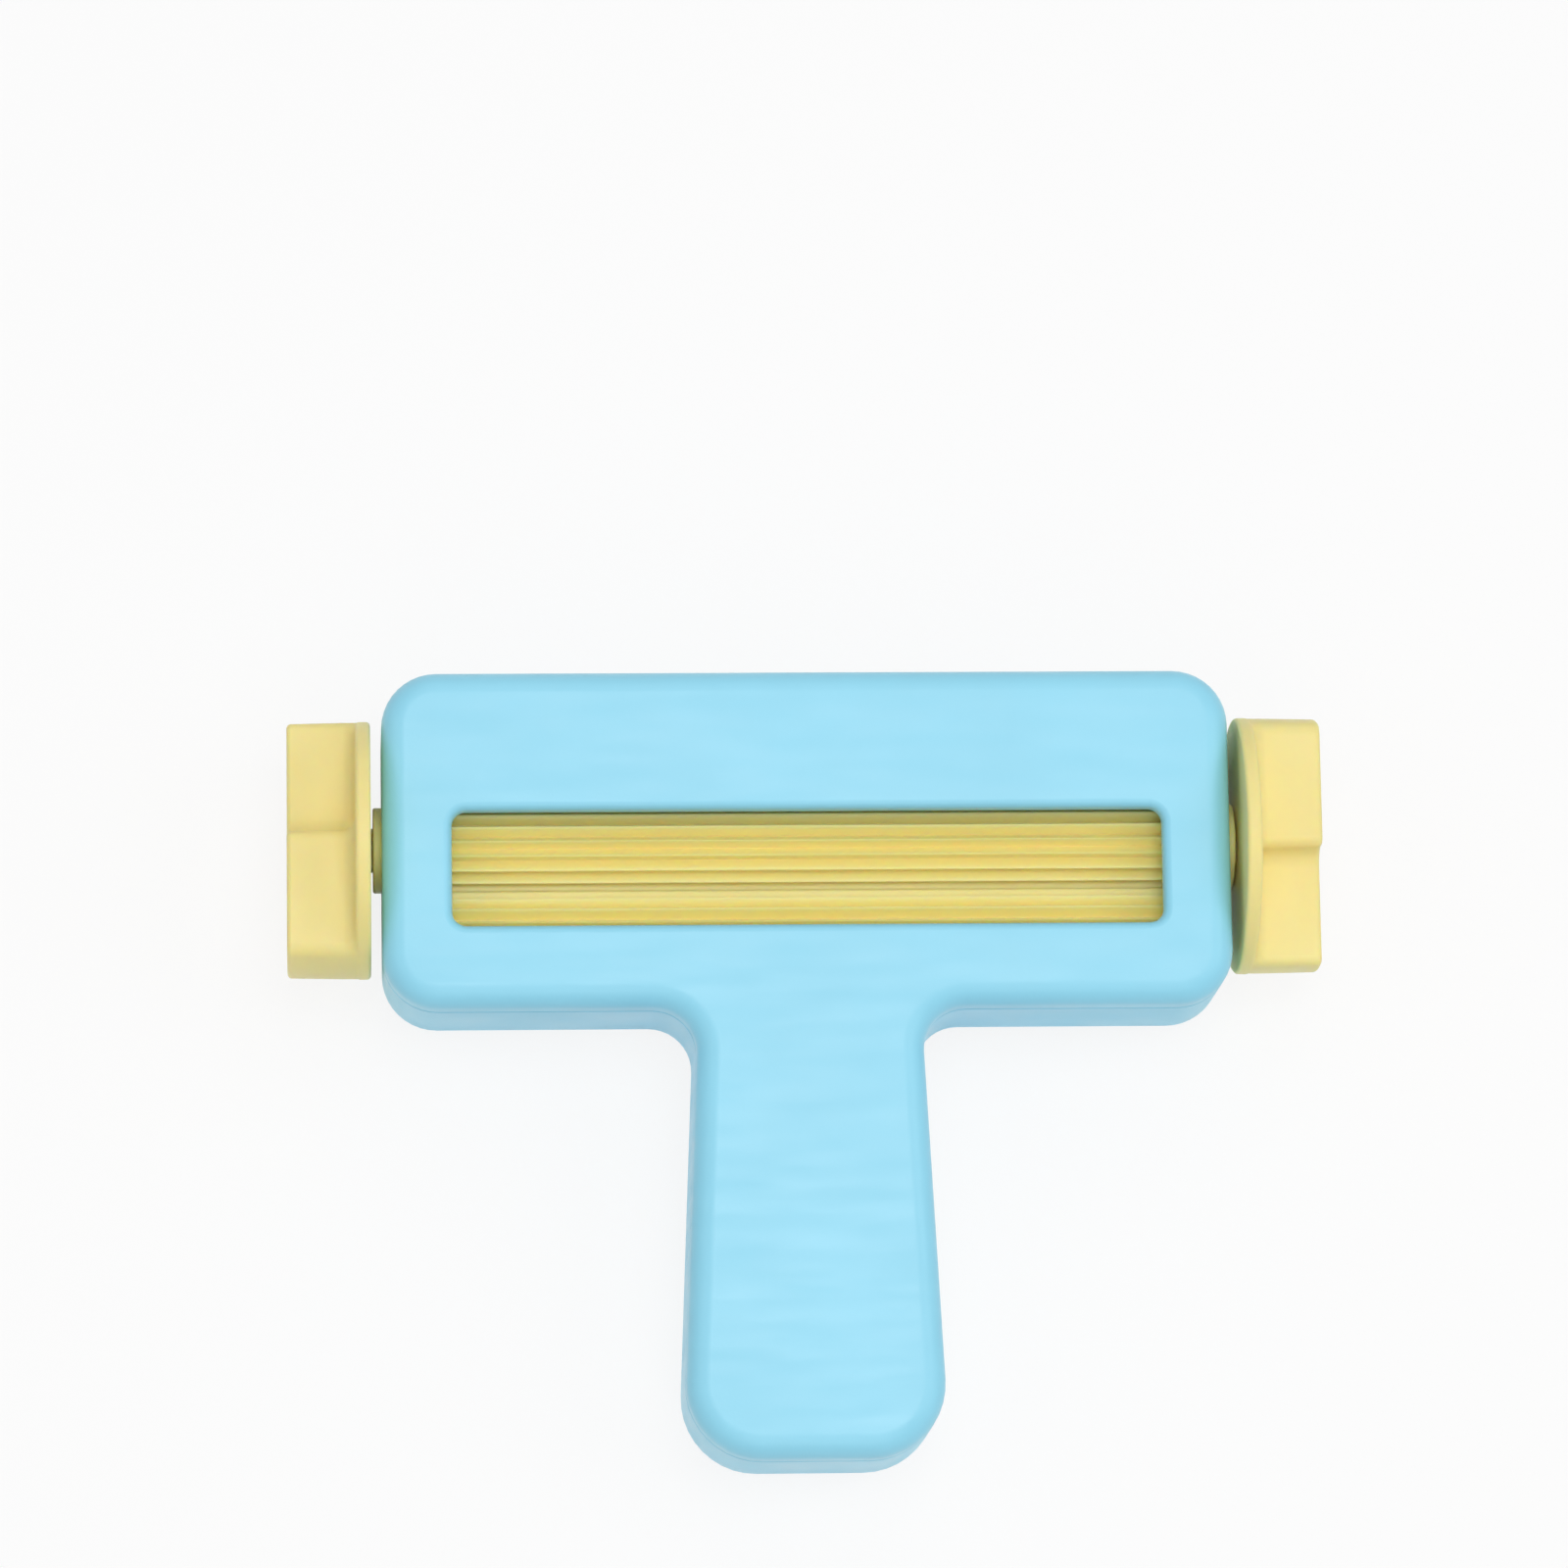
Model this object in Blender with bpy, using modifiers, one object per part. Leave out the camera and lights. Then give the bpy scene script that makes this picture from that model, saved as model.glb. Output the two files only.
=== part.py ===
"""Hand-held paper crimper: two ribbed rollers in a T-shaped plastic case, turned by a knob at each end.

Metres, +Z up. The crimper lies on its back: the windowed face looks up (+Z), the rollers lie along X,
and the handle points to -Y. The origin is under the middle of the whole object, at the height of the
lowest point of the knobs' round rims, which stand a little lower than the case's flat back.
Paper goes in at the front window, between the rollers, and out at the back window.
"""

import math

import bmesh
import bpy
from mathutils import Vector

# Case outline, seen from the front
WINDOW_WIDTH = 0.0900
WINDOW_HEIGHT = 0.0147
MARGIN_ABOVE_WINDOW = 0.0181
MARGIN_BELOW_WINDOW = 0.0103
SIDE_MARGIN = 0.0088
HANDLE_LENGTH = 0.0572
HANDLE_NECK_WIDTH = 0.0282
HANDLE_END_WIDTH = 0.0334
HEAD_CORNER_RADIUS = 0.0070
NECK_RADIUS = 0.0055
HANDLE_CORNER_RADIUS = 0.0095
WINDOW_CORNER_RADIUS = 0.0018

# Case section
BODY_THICKNESS = 0.0220
WALL = 0.0020
EDGE_ROUND = 0.0030
WINDOW_EDGE_ROUND = 0.0012
INNER_EDGE_ROUND = 0.0010
PARTING_GAP = 0.0003

# Rollers
ROLLER_RADIUS = 0.0062
RIB_COUNT = 20
RIB_DEPTH = 0.0014
RIB_RUNNING_GAP = 0.00045
NIP_BELOW_WINDOW_CENTRE = 0.0015
BARREL_OVERLAP = 0.0015
BORE_WIDTH = 0.0060
SPIGOT_LENGTH = 0.0080

# Journals and their seats
JOURNAL_RADIUS = 0.00545
STUB_RADIUS = 0.0035
RUNNING_GAP = 0.0003
SEAT_GAP = 0.0003
BEARING_THICKNESS = 0.0020
STUB_END_PLAY = 0.0004
SQUARE_DRIVE_WIDTH = 0.0048
SQUARE_DRIVE_LENGTH = 0.0058

# Knobs
RIM_RADIUS = 0.0164
RIM_THICKNESS = 0.0019
RIM_EDGE_ROUND = 0.0005
KNOB_GAP = 0.0014
GRIP_LENGTH = 0.0087
GRIP_INSET = 0.0001
GRIP_REACH = 0.0078
GRIP_STEP = 0.0043
GRIP_CENTRE_LAP = 0.0015
GRIP_OUTER_CORNER = 0.0022
GRIP_SMALL_CORNER = 0.0012
GRIP_EDGE_ROUND = 0.0008
KNOB_WEB = 0.0015

# Knob fixings
KNOB_SCREW_SHANK_RADIUS = 0.0010
KNOB_SCREW_LENGTH = 0.0075
KNOB_SCREW_HEAD_RADIUS = 0.0022
KNOB_SCREW_HEAD_HEIGHT = 0.0016
WASHER_RADIUS = 0.0025
WASHER_THICKNESS = 0.0005

# Case fixings
CASE_SCREW_SHANK_RADIUS = 0.0014
CASE_SCREW_LENGTH = 0.0130
CASE_SCREW_HEAD_RADIUS = 0.0027
CASE_SCREW_HEAD_HEIGHT = 0.0020
CROSS_SLOT_WIDTH = 0.0008
CROSS_SLOT_DEPTH = 0.0010
CROSS_SLOT_REACH = 0.62
POST_WALL = 0.0014
COUNTERBORE_DEPTH = 0.0060
POST_TO_BEARING = 0.0012
NECK_SCREW_DROP = 0.0060
END_SCREW_RISE = 0.0130
TAB_THICKNESS = 0.0012
TAB_WIDTH = 0.0060
TAB_REACH = 0.0020
HANDLE_RIB_HEIGHT = 0.0040
HANDLE_RIB_THICKNESS = 0.0014
HANDLE_RIB_COUNT = 3

# How finely round shapes are divided
ARC_SAG = 0.00004
ROUND_SIDES = 24
RIM_SIDES = 48
SMALL_ROUND_SIDES = 12
STEPS_PER_RIB = 8
# Points this close are one point, and faces within this angle are one flat face.
WELD = 0.000001
FLAT_ANGLE = math.radians(0.5)
# How far the middle of a quarter round lies from its square corner's sides, as a share of its radius.
HALF_TURNED = 1 - math.cos(math.radians(45))

# Worked out along Y
HEAD_HEIGHT = MARGIN_ABOVE_WINDOW + WINDOW_HEIGHT + MARGIN_BELOW_WINDOW
HEAD_TOP_Y = (HEAD_HEIGHT + HANDLE_LENGTH) / 2
HEAD_BOTTOM_Y = HEAD_TOP_Y - HEAD_HEIGHT
HANDLE_END_Y = HEAD_BOTTOM_Y - HANDLE_LENGTH
WINDOW_Y = HEAD_TOP_Y - MARGIN_ABOVE_WINDOW - WINDOW_HEIGHT / 2
AXIS_SPACING = 2 * ROLLER_RADIUS - RIB_DEPTH + RIB_RUNNING_GAP
NIP_Y = WINDOW_Y - NIP_BELOW_WINDOW_CENTRE
DRIVE_Y = NIP_Y + AXIS_SPACING / 2
DRIVEN_Y = NIP_Y - AXIS_SPACING / 2

# Worked out along Z
AXIS_Z = RIM_RADIUS
BACK_Z = AXIS_Z - BODY_THICKNESS / 2
FRONT_Z = AXIS_Z + BODY_THICKNESS / 2
PARTING_Z = AXIS_Z + JOURNAL_RADIUS + RUNNING_GAP

# Worked out along X, for the right-hand end
HEAD_HALF = WINDOW_WIDTH / 2 + SIDE_MARGIN
BARREL_HALF = WINDOW_WIDTH / 2 + BARREL_OVERLAP
COLLAR_START = BARREL_HALF + SEAT_GAP
BEARING_START = COLLAR_START + RUNNING_GAP
BEARING_END = BEARING_START + BEARING_THICKNESS
STUB_END = HEAD_HALF - WALL - STUB_END_PLAY
KNOB_START = HEAD_HALF + KNOB_GAP
JOURNAL_END = KNOB_START - SEAT_GAP
SQUARE_END = JOURNAL_END + SQUARE_DRIVE_LENGTH
SOCKET_END = SQUARE_END + SEAT_GAP
WEB_END = SOCKET_END + KNOB_WEB
GRIP_START = KNOB_START + RIM_THICKNESS
KNOB_END = GRIP_START + GRIP_LENGTH
KNOB_HEAD_START = WEB_END + WASHER_THICKNESS + 2 * SEAT_GAP

# Radii and heights of the fixings
PILOT_RADIUS = CASE_SCREW_SHANK_RADIUS + SEAT_GAP
COUNTERBORE_RADIUS = CASE_SCREW_HEAD_RADIUS + SEAT_GAP
POST_RADIUS = COUNTERBORE_RADIUS + POST_WALL
COUNTERBORE_Z = BACK_Z + COUNTERBORE_DEPTH
CASE_SCREW_SEAT_Z = COUNTERBORE_Z - SEAT_GAP
KNOB_RECESS_RADIUS = WASHER_RADIUS + SEAT_GAP
KNOB_HOLE_RADIUS = KNOB_SCREW_SHANK_RADIUS + SEAT_GAP

# A solid with this turn has its own x along world Y, its y along world Z and its z along world X
ALONG_X = (math.pi / 2, 0, math.pi / 2)
# How far a cutter passes the face that it cuts
PASS = 0.0020
# How deep an added rib or post sinks into its wall
SINK = 0.0006
# How far plates and posts stop short of a shell's rim, and a tongue of its plate's faces
RELIEF = 0.0002
# The window lip's rounding starts this far outside the face
LIP_STANDOFF = 0.00002


def clear_scene():
    """Remove every object, so that the script can be run again."""
    for item in list(bpy.data.objects):
        bpy.data.objects.remove(item, do_unlink=True)


def collection(name):
    """A new collection in the scene."""
    made = bpy.data.collections.new(name)
    bpy.context.scene.collection.children.link(made)
    return made


def plastic(name, colour, roughness):
    """A plain moulded plastic."""
    made = bpy.data.materials.new(name)
    made.use_nodes = True
    shader = made.node_tree.nodes["Principled BSDF"]
    shader.inputs["Base Color"].default_value = (*colour, 1)
    shader.inputs["Roughness"].default_value = roughness
    return made


def metal(name, colour, roughness):
    """A bare metal."""
    made = plastic(name, colour, roughness)
    made.node_tree.nodes["Principled BSDF"].inputs["Metallic"].default_value = 1
    return made


def place(name, mesh, group, location=(0, 0, 0), rotation=(0, 0, 0)):
    """An object of a mesh, in one of the two collections."""
    made = bpy.data.objects.new(name, mesh)
    made.location = location
    made.rotation_euler = rotation
    group.objects.link(made)
    return made


def rounded(corners):
    """Points of a closed outline: each corner is x, y and the radius of the arc that rounds it."""
    points = []
    count = len(corners)
    for index, (x, y, radius) in enumerate(corners):
        here = Vector((x, y))
        before = (Vector(corners[index - 1][:2]) - here).normalized()
        after = (Vector(corners[(index + 1) % count][:2]) - here).normalized()
        half = before.angle(after) / 2
        centre = here + (before + after).normalized() * radius / math.sin(half)
        start = here + before * radius / math.tan(half) - centre
        turn = start.angle_signed(here + after * radius / math.tan(half) - centre)
        steps = math.ceil(abs(turn) / (2 * math.acos(1 - ARC_SAG / radius)))
        for step in range(steps + 1):
            angle = -turn * step / steps
            spun = Vector((
                start.x * math.cos(angle) - start.y * math.sin(angle),
                start.x * math.sin(angle) + start.y * math.cos(angle),
            ))
            points.append(tuple(centre + spun))
    return points


def circle(radius, sides):
    """Points of a circle, with one of them on each half axis."""
    return [
        (radius * math.cos(math.tau * step / sides), radius * math.sin(math.tau * step / sides))
        for step in range(sides)
    ]


def outline_mesh(name, loops, low, high):
    """A solid between two heights from flat closed outlines; an outline within another is a hole."""
    flat = bpy.data.curves.new(name, "CURVE")
    flat.dimensions = "2D"
    flat.fill_mode = "BOTH"
    flat.extrude = (high - low) / 2
    for loop in loops:
        spline = flat.splines.new("POLY")
        spline.points.add(len(loop) - 1)
        for point, (x, y) in zip(spline.points, loop):
            point.co = (x, y, 0, 1)
        spline.use_cyclic_u = True
    guide = bpy.data.objects.new(name, flat)
    guide.location.z = (low + high) / 2
    bpy.context.scene.collection.objects.link(guide)
    graph = bpy.context.evaluated_depsgraph_get()
    mesh = bpy.data.meshes.new_from_object(guide.evaluated_get(graph), depsgraph=graph)
    mesh.transform(guide.matrix_world)
    bpy.data.objects.remove(guide, do_unlink=True)
    welded = bmesh.new()
    welded.from_mesh(mesh)
    bmesh.ops.remove_doubles(welded, verts=welded.verts, dist=WELD)
    if len(loops) == 1:
        for height in (low, high):
            cap = [
                face for face in welded.faces
                if all(abs(vert.co.z - height) < WELD for vert in face.verts)
            ]
            bmesh.ops.dissolve_faces(welded, faces=cap)
    bmesh.ops.dissolve_limit(
        welded, angle_limit=FLAT_ANGLE, verts=welded.verts, edges=welded.edges)
    bmesh.ops.recalc_face_normals(welded, faces=welded.faces)
    welded.to_mesh(mesh)
    welded.free()
    return mesh


def add_rod(target, radius, low, high, sides, x=0, y=0):
    """A round rod along z, added to a bmesh."""
    made = bmesh.ops.create_cone(
        target, cap_ends=True, segments=sides, radius1=radius, radius2=radius, depth=high - low)
    bmesh.ops.translate(target, verts=made["verts"], vec=(x, y, (low + high) / 2))


def add_box(target, lowest, highest):
    """A box between two corners, added to a bmesh."""
    size = [high - low for low, high in zip(lowest, highest)]
    middle = [(high + low) / 2 for low, high in zip(lowest, highest)]
    made = bmesh.ops.create_cube(target, size=1)
    bmesh.ops.scale(target, verts=made["verts"], vec=size)
    bmesh.ops.translate(target, verts=made["verts"], vec=middle)


def finished_mesh(name, source):
    """A mesh from a bmesh, which is freed."""
    mesh = bpy.data.meshes.new(name)
    source.to_mesh(mesh)
    source.free()
    return mesh


def rods_mesh(name, places, radius, low, high, sides):
    """Equal rods along z, one at each place."""
    source = bmesh.new()
    for x, y in places:
        add_rod(source, radius, low, high, sides, x, y)
    return finished_mesh(name, source)


def boxes_mesh(name, boxes):
    """Boxes, each given by its lowest and highest corner, that don't touch each other."""
    source = bmesh.new()
    for lowest, highest in boxes:
        add_box(source, lowest, highest)
    return finished_mesh(name, source)


def both_sides(boxes):
    """The boxes given, and their mirror images across the middle of the crimper."""
    mirrored = [((-high[0], *low[1:]), (-low[0], *high[1:])) for low, high in boxes]
    return boxes + mirrored


def combine(target, tool, operation):
    """Join a helper object to a part, cut it out of the part, or keep what they share."""
    tool.hide_render = True
    tool.display_type = "WIRE"
    step = target.modifiers.new(f"{operation.lower()} {tool.name}", "BOOLEAN")
    step.operation = operation
    step.solver = "EXACT"
    step.object = tool


def round_edges(target, width, segments, angle=50):
    """Round every edge that is sharper than the angle."""
    step = target.modifiers.new("rounded edges", "BEVEL")
    step.width = width
    step.segments = segments
    step.limit_method = "ANGLE"
    step.angle_limit = math.radians(angle)


def finish(part, material):
    """Give a part its material and smooth shading that stops at its sharp edges."""
    part.data.materials.append(material)
    part.data.shade_smooth()
    part.data.set_sharp_from_angle(angle=math.radians(35))
    return part


def case_corners(inset=0):
    """The corners of the T-shaped case outline, moved in by an inset, anticlockwise from top right."""
    slant = (HANDLE_END_WIDTH - HANDLE_NECK_WIDTH) / 2 / HANDLE_LENGTH
    side_inset = inset * math.hypot(1, slant)
    side = HEAD_HALF - inset
    top = HEAD_TOP_Y - inset
    bottom = HEAD_BOTTOM_Y + inset
    end = HANDLE_END_Y + inset
    neck = HANDLE_NECK_WIDTH / 2 - side_inset - slant * inset
    end_half = HANDLE_END_WIDTH / 2 - side_inset - slant * inset
    head_corner = HEAD_CORNER_RADIUS - inset
    handle_corner = HANDLE_CORNER_RADIUS - inset
    neck_corner = NECK_RADIUS + inset
    return [
        (side, top, head_corner),
        (-side, top, head_corner),
        (-side, bottom, head_corner),
        (-neck, bottom, neck_corner),
        (-end_half, end, handle_corner),
        (end_half, end, handle_corner),
        (neck, bottom, neck_corner),
        (side, bottom, head_corner),
    ]


def screw_places():
    """The six case screws: three above the rollers, two in the neck and one near the handle's end."""
    roller_top = DRIVE_Y + ROLLER_RADIUS
    head_y = (roller_top + HEAD_TOP_Y - WALL) / 2
    head_x = BEARING_START - POST_TO_BEARING - POST_RADIUS
    neck_y = HEAD_BOTTOM_Y - NECK_SCREW_DROP
    neck_x = HANDLE_NECK_WIDTH / 2 - WALL - POST_RADIUS
    return [
        (-head_x, head_y),
        (0, head_y),
        (head_x, head_y),
        (-neck_x, neck_y),
        (neck_x, neck_y),
        (0, HANDLE_END_Y + END_SCREW_RISE),
    ]


def window_cutter(name, group):
    """The window's opening through both faces, which flares out in a round lip at each of them."""
    half_width = WINDOW_WIDTH / 2
    low = WINDOW_Y - WINDOW_HEIGHT / 2
    high = WINDOW_Y + WINDOW_HEIGHT / 2
    outline = rounded([
        (half_width, high, WINDOW_CORNER_RADIUS),
        (-half_width, high, WINDOW_CORNER_RADIUS),
        (-half_width, low, WINDOW_CORNER_RADIUS),
        (half_width, low, WINDOW_CORNER_RADIUS),
    ])
    opening = place(name, outline_mesh(name, [outline], BACK_Z - PASS, FRONT_Z + PASS), group)
    reach = WINDOW_EDGE_ROUND * 3
    slabs = boxes_mesh(name + " slabs", [
        ((-half_width - reach, low - reach, FRONT_Z + LIP_STANDOFF),
         (half_width + reach, high + reach, FRONT_Z + PASS * 2)),
        ((-half_width - reach, low - reach, BACK_Z - PASS * 2),
         (half_width + reach, high + reach, BACK_Z - LIP_STANDOFF)),
    ])
    combine(opening, place(name + " slabs", slabs, group), "UNION")
    round_edges(opening, WINDOW_EDGE_ROUND, 3, angle=60)
    return opening


def seat_outline(radius, top):
    """A U-shaped seat round a roller's axis, open upwards to a height above the axis."""
    lower = [
        (radius * math.cos(math.pi + math.tau * step / ROUND_SIDES),
         radius * math.sin(math.pi + math.tau * step / ROUND_SIDES))
        for step in range(ROUND_SIDES // 2 + 1)
    ]
    return lower + [(radius, top), (-radius, top)]


def seat_cutter(name, group, radius, axis_y, start, end, side):
    """Cuts one journal's seat through the walls between two distances from the middle."""
    low, high = sorted((side * start, side * end))
    top = FRONT_Z - AXIS_Z
    mesh = outline_mesh(name, [seat_outline(radius, top)], low, high)
    return place(name, mesh, group, (0, axis_y, AXIS_Z), ALONG_X)


def outer_form(name, group):
    """The whole case as one solid block, rounded along its front and back edges."""
    mesh = outline_mesh(name, [rounded(case_corners())], BACK_Z, FRONT_Z)
    block = place(name, mesh, group)
    round_edges(block, EDGE_ROUND, 4)
    return block


def cavity_cutter(name, group):
    """The hollow inside the case."""
    mesh = outline_mesh(name, [rounded(case_corners(WALL))], BACK_Z + WALL, FRONT_Z - WALL)
    hollow = place(name, mesh, group)
    round_edges(hollow, INNER_EDGE_ROUND, 2)
    return hollow


def bearing_plates(low, high):
    """The two plates that carry the rollers' ends, between two heights."""
    return boxes_mesh("bearing plates", both_sides([(
        (BEARING_START, HEAD_BOTTOM_Y + WALL - SINK, low),
        (BEARING_END, HEAD_TOP_Y - WALL + SINK, high),
    )]))


def handle_ribs(low, high):
    """Cross ribs that stiffen the handle, spread evenly between the neck screws and the end screw."""
    first = HEAD_BOTTOM_Y - NECK_SCREW_DROP - POST_RADIUS
    last = HANDLE_END_Y + END_SCREW_RISE + POST_RADIUS
    half = HANDLE_NECK_WIDTH / 2 - WALL + SINK
    slant = (HANDLE_END_WIDTH - HANDLE_NECK_WIDTH) / 2 / HANDLE_LENGTH
    boxes = []
    for index in range(HANDLE_RIB_COUNT):
        y = first + (last - first) * (index + 1) / (HANDLE_RIB_COUNT + 1)
        reach = half + slant * (HEAD_BOTTOM_Y - y)
        boxes.append((
            (-reach, y - HANDLE_RIB_THICKNESS / 2, low),
            (reach, y + HANDLE_RIB_THICKNESS / 2, high),
        ))
    return boxes_mesh("handle ribs", boxes)


def locating_tabs():
    """Tabs on the front cover that drop just inside the back shell's walls and line the two up."""
    low = PARTING_Z - TAB_REACH
    high = FRONT_Z - WALL + SINK
    top = HEAD_TOP_Y - WALL - SEAT_GAP
    side = HEAD_HALF - WALL - SEAT_GAP
    end = HANDLE_END_Y + WALL + SEAT_GAP
    between = screw_places()[2][0] / 2
    side_high = HEAD_TOP_Y - HEAD_CORNER_RADIUS
    paired = both_sides([
        ((between - TAB_WIDTH / 2, top - TAB_THICKNESS, low), (between + TAB_WIDTH / 2, top, high)),
        ((side - TAB_THICKNESS, side_high - TAB_WIDTH, low), (side, side_high, high)),
    ])
    end_tab = ((-TAB_WIDTH / 2, end, low), (TAB_WIDTH / 2, end + TAB_THICKNESS, high))
    return boxes_mesh("locating tabs", paired + [end_tab])


def make_back_shell(parts, cutters):
    """The deep back half of the case: bearing plates with open seats, screw posts and handle ribs."""
    shell = outer_form("back_shell", parts)
    edge = PARTING_Z - PARTING_GAP / 2
    inner = BACK_Z + WALL
    wide = HEAD_HALF + PASS
    above = boxes_mesh("above the parting line", [
        ((-wide, HANDLE_END_Y - PASS, edge), (wide, HEAD_TOP_Y + PASS, FRONT_Z + PASS)),
    ])
    combine(shell, place("cut front half", above, cutters), "DIFFERENCE")
    combine(shell, cavity_cutter("cut back hollow", cutters), "DIFFERENCE")
    plates = bearing_plates(inner - SINK, edge - RELIEF)
    combine(shell, place("back bearing plates", plates, cutters), "UNION")
    ribs = handle_ribs(inner - SINK, inner + HANDLE_RIB_HEIGHT)
    combine(shell, place("back handle ribs", ribs, cutters), "UNION")
    posts = rods_mesh(
        "posts", screw_places(), POST_RADIUS, inner - SINK, edge - RELIEF, SMALL_ROUND_SIDES)
    combine(shell, place("back posts", posts, cutters), "UNION")
    combine(shell, window_cutter("cut back window", cutters), "DIFFERENCE")
    for side, label in ((-1, "left"), (1, "right")):
        drive = seat_cutter(
            f"cut {label} drive seat", cutters, JOURNAL_RADIUS + RUNNING_GAP, DRIVE_Y,
            COLLAR_START, HEAD_HALF + PASS, side)
        driven = seat_cutter(
            f"cut {label} driven seat", cutters, STUB_RADIUS + RUNNING_GAP, DRIVEN_Y,
            COLLAR_START, STUB_END, side)
        combine(shell, drive, "DIFFERENCE")
        combine(shell, driven, "DIFFERENCE")
    heads = rods_mesh(
        "counterbores", screw_places(), COUNTERBORE_RADIUS, BACK_Z - PASS, COUNTERBORE_Z, SMALL_ROUND_SIDES)
    combine(shell, place("cut counterbores", heads, cutters), "DIFFERENCE")
    holes = rods_mesh(
        "screw holes", screw_places(), PILOT_RADIUS, BACK_Z - PASS, PARTING_Z + PASS, SMALL_ROUND_SIDES)
    combine(shell, place("cut screw holes", holes, cutters), "DIFFERENCE")
    return shell


def make_front_shell(parts, cutters):
    """The shallow front cover: it closes the seats, carries the screw threads and the locating tabs."""
    shell = outer_form("front_shell", parts)
    edge = PARTING_Z + PARTING_GAP / 2
    inner = FRONT_Z - WALL
    wide = HEAD_HALF + PASS
    below = boxes_mesh("below the parting line", [
        ((-wide, HANDLE_END_Y - PASS, BACK_Z - PASS), (wide, HEAD_TOP_Y + PASS, edge)),
    ])
    combine(shell, place("cut back half", below, cutters), "DIFFERENCE")
    combine(shell, cavity_cutter("cut front hollow", cutters), "DIFFERENCE")
    plates = bearing_plates(edge + RELIEF, inner + SINK)
    combine(shell, place("front bearing plates", plates, cutters), "UNION")
    tongues = boxes_mesh("stub tongues", both_sides([(
        (BEARING_START + RELIEF, DRIVEN_Y - STUB_RADIUS, AXIS_Z + STUB_RADIUS + RUNNING_GAP),
        (BEARING_END - RELIEF, DRIVEN_Y + STUB_RADIUS, edge + RELIEF + SINK),
    )]))
    combine(shell, place("stub tongues", tongues, cutters), "UNION")
    ribs = handle_ribs(edge + RELIEF, inner + SINK)
    combine(shell, place("front handle ribs", ribs, cutters), "UNION")
    posts = rods_mesh(
        "posts", screw_places(), POST_RADIUS, edge + RELIEF, inner + SINK, SMALL_ROUND_SIDES)
    combine(shell, place("front posts", posts, cutters), "UNION")
    combine(shell, place("locating tabs", locating_tabs(), cutters), "UNION")
    combine(shell, window_cutter("cut front window", cutters), "DIFFERENCE")
    thread_top = CASE_SCREW_SEAT_Z + CASE_SCREW_LENGTH + SEAT_GAP
    pilots = rods_mesh(
        "pilot holes", screw_places(), PILOT_RADIUS, PARTING_Z - PASS, thread_top, SMALL_ROUND_SIDES)
    combine(shell, place("cut pilot holes", pilots, cutters), "DIFFERENCE")
    return shell


def ribbed_outline(crest_angle):
    """A roller's section: ribs round the whole roller, with a crest at the angle given."""
    steps = RIB_COUNT * STEPS_PER_RIB
    points = []
    for step in range(steps):
        angle = math.tau * step / steps
        depth = RIB_DEPTH * (1 - math.cos(RIB_COUNT * angle)) / 2
        radius = ROLLER_RADIUS - depth
        points.append((radius * math.cos(angle + crest_angle), radius * math.sin(angle + crest_angle)))
    return points


def hexagon(width):
    """A hexagon of a width across its flats."""
    corner = width / 2 / math.cos(math.pi / 6)
    return circle(corner, 6)


def make_roller(name, axis_y, crest_angle, parts):
    """One ribbed barrel with a hexagonal bore, along its own axis."""
    loops = [ribbed_outline(crest_angle), hexagon(BORE_WIDTH)]
    mesh = outline_mesh(name, loops, -BARREL_HALF, BARREL_HALF)
    return place(name, mesh, parts, (0, axis_y, AXIS_Z), ALONG_X)


def make_end_plug(name, axis_y, side, radius, end, parts, cutters):
    """A barrel's end: a hexagonal spigot in its bore and a round journal in the case."""
    spigot = outline_mesh(
        name, [hexagon(BORE_WIDTH - 2 * SEAT_GAP)], COLLAR_START - SPIGOT_LENGTH, COLLAR_START + SINK)
    turned = (ALONG_X[0], 0, side * ALONG_X[2])
    plug = place(name, spigot, parts, (0, axis_y, AXIS_Z), turned)
    collar = rods_mesh(name + " collar", [(0, 0)], radius, COLLAR_START, end, ROUND_SIDES)
    combine(plug, place(name + " collar", collar, cutters, plug.location, turned), "UNION")
    return plug


def make_drive_plug(name, side, parts, cutters):
    """The driving roller's end plug, which ends in a square stub with a screw hole for the knob."""
    plug = make_end_plug(name, DRIVE_Y, side, JOURNAL_RADIUS, JOURNAL_END, parts, cutters)
    half = SQUARE_DRIVE_WIDTH / 2
    stub = boxes_mesh(name + " stub", [((-half, -half, JOURNAL_END - SINK), (half, half, SQUARE_END))])
    combine(plug, place(name + " stub", stub, cutters, plug.location, plug.rotation_euler), "UNION")
    bottom = KNOB_HEAD_START - KNOB_SCREW_LENGTH - SEAT_GAP
    hole = rods_mesh(
        name + " hole", [(0, 0)], KNOB_HOLE_RADIUS, bottom, SQUARE_END + PASS, SMALL_ROUND_SIDES)
    hole = place("cut " + name + " hole", hole, cutters, plug.location, plug.rotation_euler)
    combine(plug, hole, "DIFFERENCE")
    return plug


def arc(x, y, radius, first, last):
    """Points of an arc round a centre, from one angle to another."""
    steps = math.ceil(abs(last - first) / (2 * math.acos(1 - ARC_SAG / radius)))
    points = []
    for step in range(steps + 1):
        angle = first + (last - first) * step / steps
        points.append((x + radius * math.cos(angle), y + radius * math.sin(angle)))
    return points


def end_corner(end_radius, height, radius):
    """Centre of an arc that rounds the corner between a round end and a side at a height."""
    y = height - radius
    return math.sqrt((end_radius - radius) ** 2 - y ** 2), y


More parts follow.
